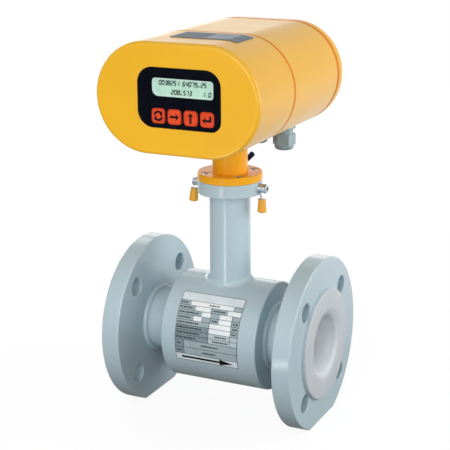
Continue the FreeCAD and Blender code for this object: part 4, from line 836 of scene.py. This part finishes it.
def make_lines(left, right, foot):
    """The dark frame, the lines between the rows and the upright dividers."""
    shape = bmesh.new()
    layer = 5
    row_tops = [row_span(row)[0] for row in range(1, ROWS + TALL_ROWS + 1)]
    for middle in row_tops + [TABLE_FOOT]:
        wrapped(shape, left, right, middle - LINE / 2, middle + LINE / 2, layer)
    for top in (PLATE_INSET, foot - LINE):
        wrapped(shape, left, right, top, top + LINE, layer)
    for x, top, bottom in ((left, PLATE_INSET, foot), (right - LINE, PLATE_INSET, foot),
                           (DIVIDER, HEADER + ROW, GRID_FOOT), (CODE_COLUMN, GRID_FOOT, TABLE_FOOT),
                           (UNIT_COLUMN, HEADER + 2 * ROW, GRID_FOOT)):
        wrapped(shape, x, x + LINE, top, bottom, layer)
    piece("nameplate_lines", shape, ink_dark, METER)


# Where dashes stand for the print in each row, as (left, right) in millimetres along the pipe.
BAR_SPANS = {
    1: ((-32.0, -25.0), (-3.0, 8.0)), 2: ((-32.0, -19.0), (3.0, 15.0)), 3: ((-32.0, -12.0),),
    4: ((-32.0, -19.0), (3.0, 9.0), (25.0, 30.0)), 5: ((-32.0, -10.0), (25.0, 30.0)),
    6: ((-32.0, -6.0), (25.0, 29.5)), 7: ((-32.0, -8.0), (8.0, 20.0)), 8: ((-32.0, -12.0), (6.0, 22.0)),
    9: ((-31.0, -27.0), (-6.0, 12.0)), 10: ((-31.0, -27.0), (-5.0, 9.0)),
}
BAR_HEIGHT = 1.5 * MM
DASHES = (1.4, 0.9, 1.9, 1.1, 0.7, 1.6)   # lengths in millimetres, taken in turn
DASH_GAP = 0.45 * MM


def make_bars():
    """Rows of short dashes where the table's print is."""
    shape = bmesh.new()
    for row, bars in BAR_SPANS.items():
        middle = sum(row_span(row)) / 2
        top, bottom = middle - BAR_HEIGHT / 2, middle + BAR_HEIGHT / 2
        for left, right in bars:
            x = left * MM
            dash = 0
            while x < right * MM:
                length = DASHES[dash % len(DASHES)] * MM
                wrapped(shape, x, min(x + length, right * MM), top, bottom, 6)
                x += length + DASH_GAP
                dash += 1
    piece("nameplate_bars", shape, ink_print, METER)


def make_flow_arrow():
    """The long black arrow along the foot of the plate, pointing downstream."""
    shape = bmesh.new()
    middle = (TABLE_FOOT + PLATE_HEIGHT) / 2 - 0.3 * MM
    shaft = 2.3 * MM
    tip, neck, tail = 26.0 * MM, 12.5 * MM, -27.2 * MM
    layer = 7
    wrapped(shape, tail, neck + 0.5 * MM, middle - shaft / 2, middle + shaft / 2, layer)
    half = 3.4 * MM
    steps = 12
    for step in range(steps):
        start = neck + (tip - neck) * step / steps
        reach = half * (1 - (step + 0.5) / steps)
        wrapped(shape, start, start + (tip - neck) / steps, middle - reach, middle + reach, layer)
    piece("flow_arrow", shape, ink_dark, METER)


make_nameplate()


# Label on top of the housing

def make_top_label():
    """A darker left half and thin pale lines on the right half of the slate label."""
    low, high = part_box("top_label")
    width = high.x - low.x
    depth = high.y - low.y
    rise = 0.02 * MM

    def field(shape, start, end, front, back):
        """A flat field, in shares of the label's width and depth."""
        corners = [(low.x + share_x * width, low.y + share_y * depth)
                   for share_x, share_y in ((start, front), (end, front), (end, back), (start, back))]
        under = [shape.verts.new((x, y, high.z - 0.1 * MM)) for x, y in corners]
        over = [shape.verts.new((x, y, high.z + rise)) for x, y in corners]
        shape.faces.new(over)
        shape.faces.new(under[::-1])
        for i in range(4):
            j = (i + 1) % 4
            shape.faces.new((under[i], under[j], over[j], over[i]))

    dark = bmesh.new()
    field(dark, 0.03, 0.47, 0.08, 0.92)
    piece("top_label_dark", dark, printed("label_dark", rgb(58, 72, 86)), METER)
    pale = bmesh.new()
    for line in range(4):
        front = 0.16 + 0.2 * line
        field(pale, 0.52, 0.9 - 0.06 * (line % 2), front, front + 0.06)
    piece("top_label_lines", pale, printed("label_pale", rgb(170, 180, 188)), METER)


make_top_label()


# Stage: floor, lights, world and camera

FLOOR_SIZE = 12.0
FLOOR_WHITE = 0.12
# Near and far distance from the meter, and the glow there: lower near it, where its shadow falls.
FLOOR_GLOW = (0.25, 1.4, 0.905, 0.96)
# Front and back y, and the share of that glow there that mirrored and transmitted rays see. It departs from
# what the camera sees, and passes 1 at the back.
FLOOR_FADE = (0.15, 0.6, 0.2, 1.35)
WORLD_LEVEL = 0.37             # of the even light; the world is white where it is seen
LIGHT_AIM = Vector((0, 0, 0.1))
# Place, width, height and power in watts of each lamp that points at the meter.
LAMPS = {
    "key_light": ((0.05, -1.45, 0.65), 0.9, 0.9, 10.0),
    "fill_light": ((1.0, -1.2, 0.1), 0.8, 0.5, 4.6),
    "strip_light": ((-0.08, -0.85, -0.07), 0.03, 1.1, 2.6),
    "side_light": ((1.3, 0.5, 0.4), 1.1, 1.0, 13.6),
    "back_light": ((-0.75, 1.55, 0.38), 1.5, 0.3, 2.4),
    "rear_light": ((-1.2, 0.9, 0.7), 1.0, 1.0, 7.0),
}
STRIP_TURN = -5.4              # degrees; the strip alone lies on the floor facing up, and points at the neck
CAMERA_PLACE = Vector((0.496175, -1.036298, 0.435362))
CAMERA_FORWARD = Vector((-0.41870608, 0.86482625, -0.27705735))
CAMERA_RIGHT = Vector((0.90077819, 0.43424015, -0.00584366))
CAMERA_LENS = 100.67           # in mm, for the sensor's width
SENSOR_WIDTH = 36.0


def combine(tree, operation, first, second):
    """One maths node over two values or outputs."""
    maths = tree.nodes.new("ShaderNodeMath")
    maths.operation = operation
    for socket, value in zip(maths.inputs, (first, second)):
        if isinstance(value, float):
            socket.default_value = value
        else:
            tree.links.new(value, socket)
    return maths.outputs["Value"]


def spread(tree, value, limits):
    """Maps an output from the first two limits to the last two."""
    mapped = tree.nodes.new("ShaderNodeMapRange")
    for socket, number in zip(("From Min", "From Max", "To Min", "To Max"), limits):
        mapped.inputs[socket].default_value = number
    tree.links.new(value, mapped.inputs["Value"])
    return mapped.outputs["Result"]


def seen_directly(tree, mirrored=1.0):
    """1 for camera rays, mirrored for glossy and transmission rays, and 0 for the rest."""
    path = tree.nodes.new("ShaderNodeLightPath")
    bent = combine(tree, "MAXIMUM", path.outputs["Is Glossy Ray"], path.outputs["Is Transmission Ray"])
    bent = combine(tree, "MULTIPLY", bent, mirrored)
    return combine(tree, "MAXIMUM", path.outputs["Is Camera Ray"], bent)


def make_floor():
    """A white floor that keeps the object's soft shadow."""
    material = bpy.data.materials.new("floor_white")
    material.use_nodes = True
    tree = material.node_tree
    tree.nodes.clear()
    paper = tree.nodes.new("ShaderNodeBsdfDiffuse")
    paper.inputs["Color"].default_value = (FLOOR_WHITE, FLOOR_WHITE, FLOOR_WHITE, 1)
    glow = tree.nodes.new("ShaderNodeEmission")
    place = tree.nodes.new("ShaderNodeTexCoord")
    parts = tree.nodes.new("ShaderNodeSeparateXYZ")
    tree.links.new(place.outputs["Object"], parts.inputs["Vector"])
    length = tree.nodes.new("ShaderNodeVectorMath")
    length.operation = "LENGTH"
    tree.links.new(place.outputs["Object"], length.inputs[0])
    seen = seen_directly(tree, spread(tree, parts.outputs["Y"], FLOOR_FADE))
    strength = combine(tree, "MULTIPLY", seen, spread(tree, length.outputs["Value"], FLOOR_GLOW))
    tree.links.new(strength, glow.inputs["Strength"])
    both = tree.nodes.new("ShaderNodeAddShader")
    tree.links.new(paper.outputs["BSDF"], both.inputs[0])
    tree.links.new(glow.outputs["Emission"], both.inputs[1])
    output = tree.nodes.new("ShaderNodeOutputMaterial")
    tree.links.new(both.outputs["Shader"], output.inputs["Surface"])

    shape = bmesh.new()
    half = FLOOR_SIZE / 2
    corners = ((-half, -half), (half, -half), (half, half), (-half, half))
    shape.faces.new([shape.verts.new((x, y, cad_low.z)) for x, y in corners])
    data = bpy.data.meshes.new("floor")
    shape.to_mesh(data)
    shape.free()
    data.materials.append(material)
    floor = bpy.data.objects.new("floor", data)
    bpy.context.scene.collection.objects.link(floor)


def make_world():
    """White where it is seen, and a moderate even light on everything."""
    world = bpy.data.worlds.new("studio")
    bpy.context.scene.world = world
    world.use_nodes = True
    tree = world.node_tree
    background = tree.nodes["Background"]
    background.inputs["Color"].default_value = (1, 1, 1, 1)
    strength = tree.nodes.new("ShaderNodeMapRange")
    strength.inputs["To Min"].default_value = WORLD_LEVEL
    strength.inputs["To Max"].default_value = 1.0
    tree.links.new(seen_directly(tree), strength.inputs["Value"])
    tree.links.new(strength.outputs["Result"], background.inputs["Strength"])


def softbox(name, place, width, height, power):
    """An area lamp aimed at the meter, which the camera doesn't see."""
    lamp = bpy.data.lights.new(name, "AREA")
    lamp.shape = "RECTANGLE"
    lamp.size = width
    lamp.size_y = height
    lamp.energy = power
    holder = bpy.data.objects.new(name, lamp)
    bpy.context.scene.collection.objects.link(holder)
    holder.location = place
    holder.visible_camera = False
    holder.rotation_euler = (LIGHT_AIM - Vector(place)).to_track_quat("-Z", "Y").to_euler()
    return holder


def make_camera():
    """The photograph's viewing angle."""
    lens = bpy.data.cameras.new("camera")
    lens.sensor_width = SENSOR_WIDTH
    lens.lens = CAMERA_LENS
    lens.clip_start = 0.01
    lens.clip_end = 100.0
    camera = bpy.data.objects.new("camera", lens)
    bpy.context.scene.collection.objects.link(camera)
    forward, right = CAMERA_FORWARD.normalized(), CAMERA_RIGHT.normalized()
    turn = Matrix((right, right.cross(forward), -forward)).transposed().to_4x4()
    camera.matrix_world = Matrix.Translation(CAMERA_PLACE) @ turn
    bpy.context.scene.camera = camera


make_floor()
make_world()
lamps = {name: softbox(name, *facts) for name, facts in LAMPS.items()}
lamps["strip_light"].rotation_euler = (math.pi, 0, math.radians(STRIP_TURN))
make_camera()
bpy.context.scene.view_settings.view_transform = "Standard"
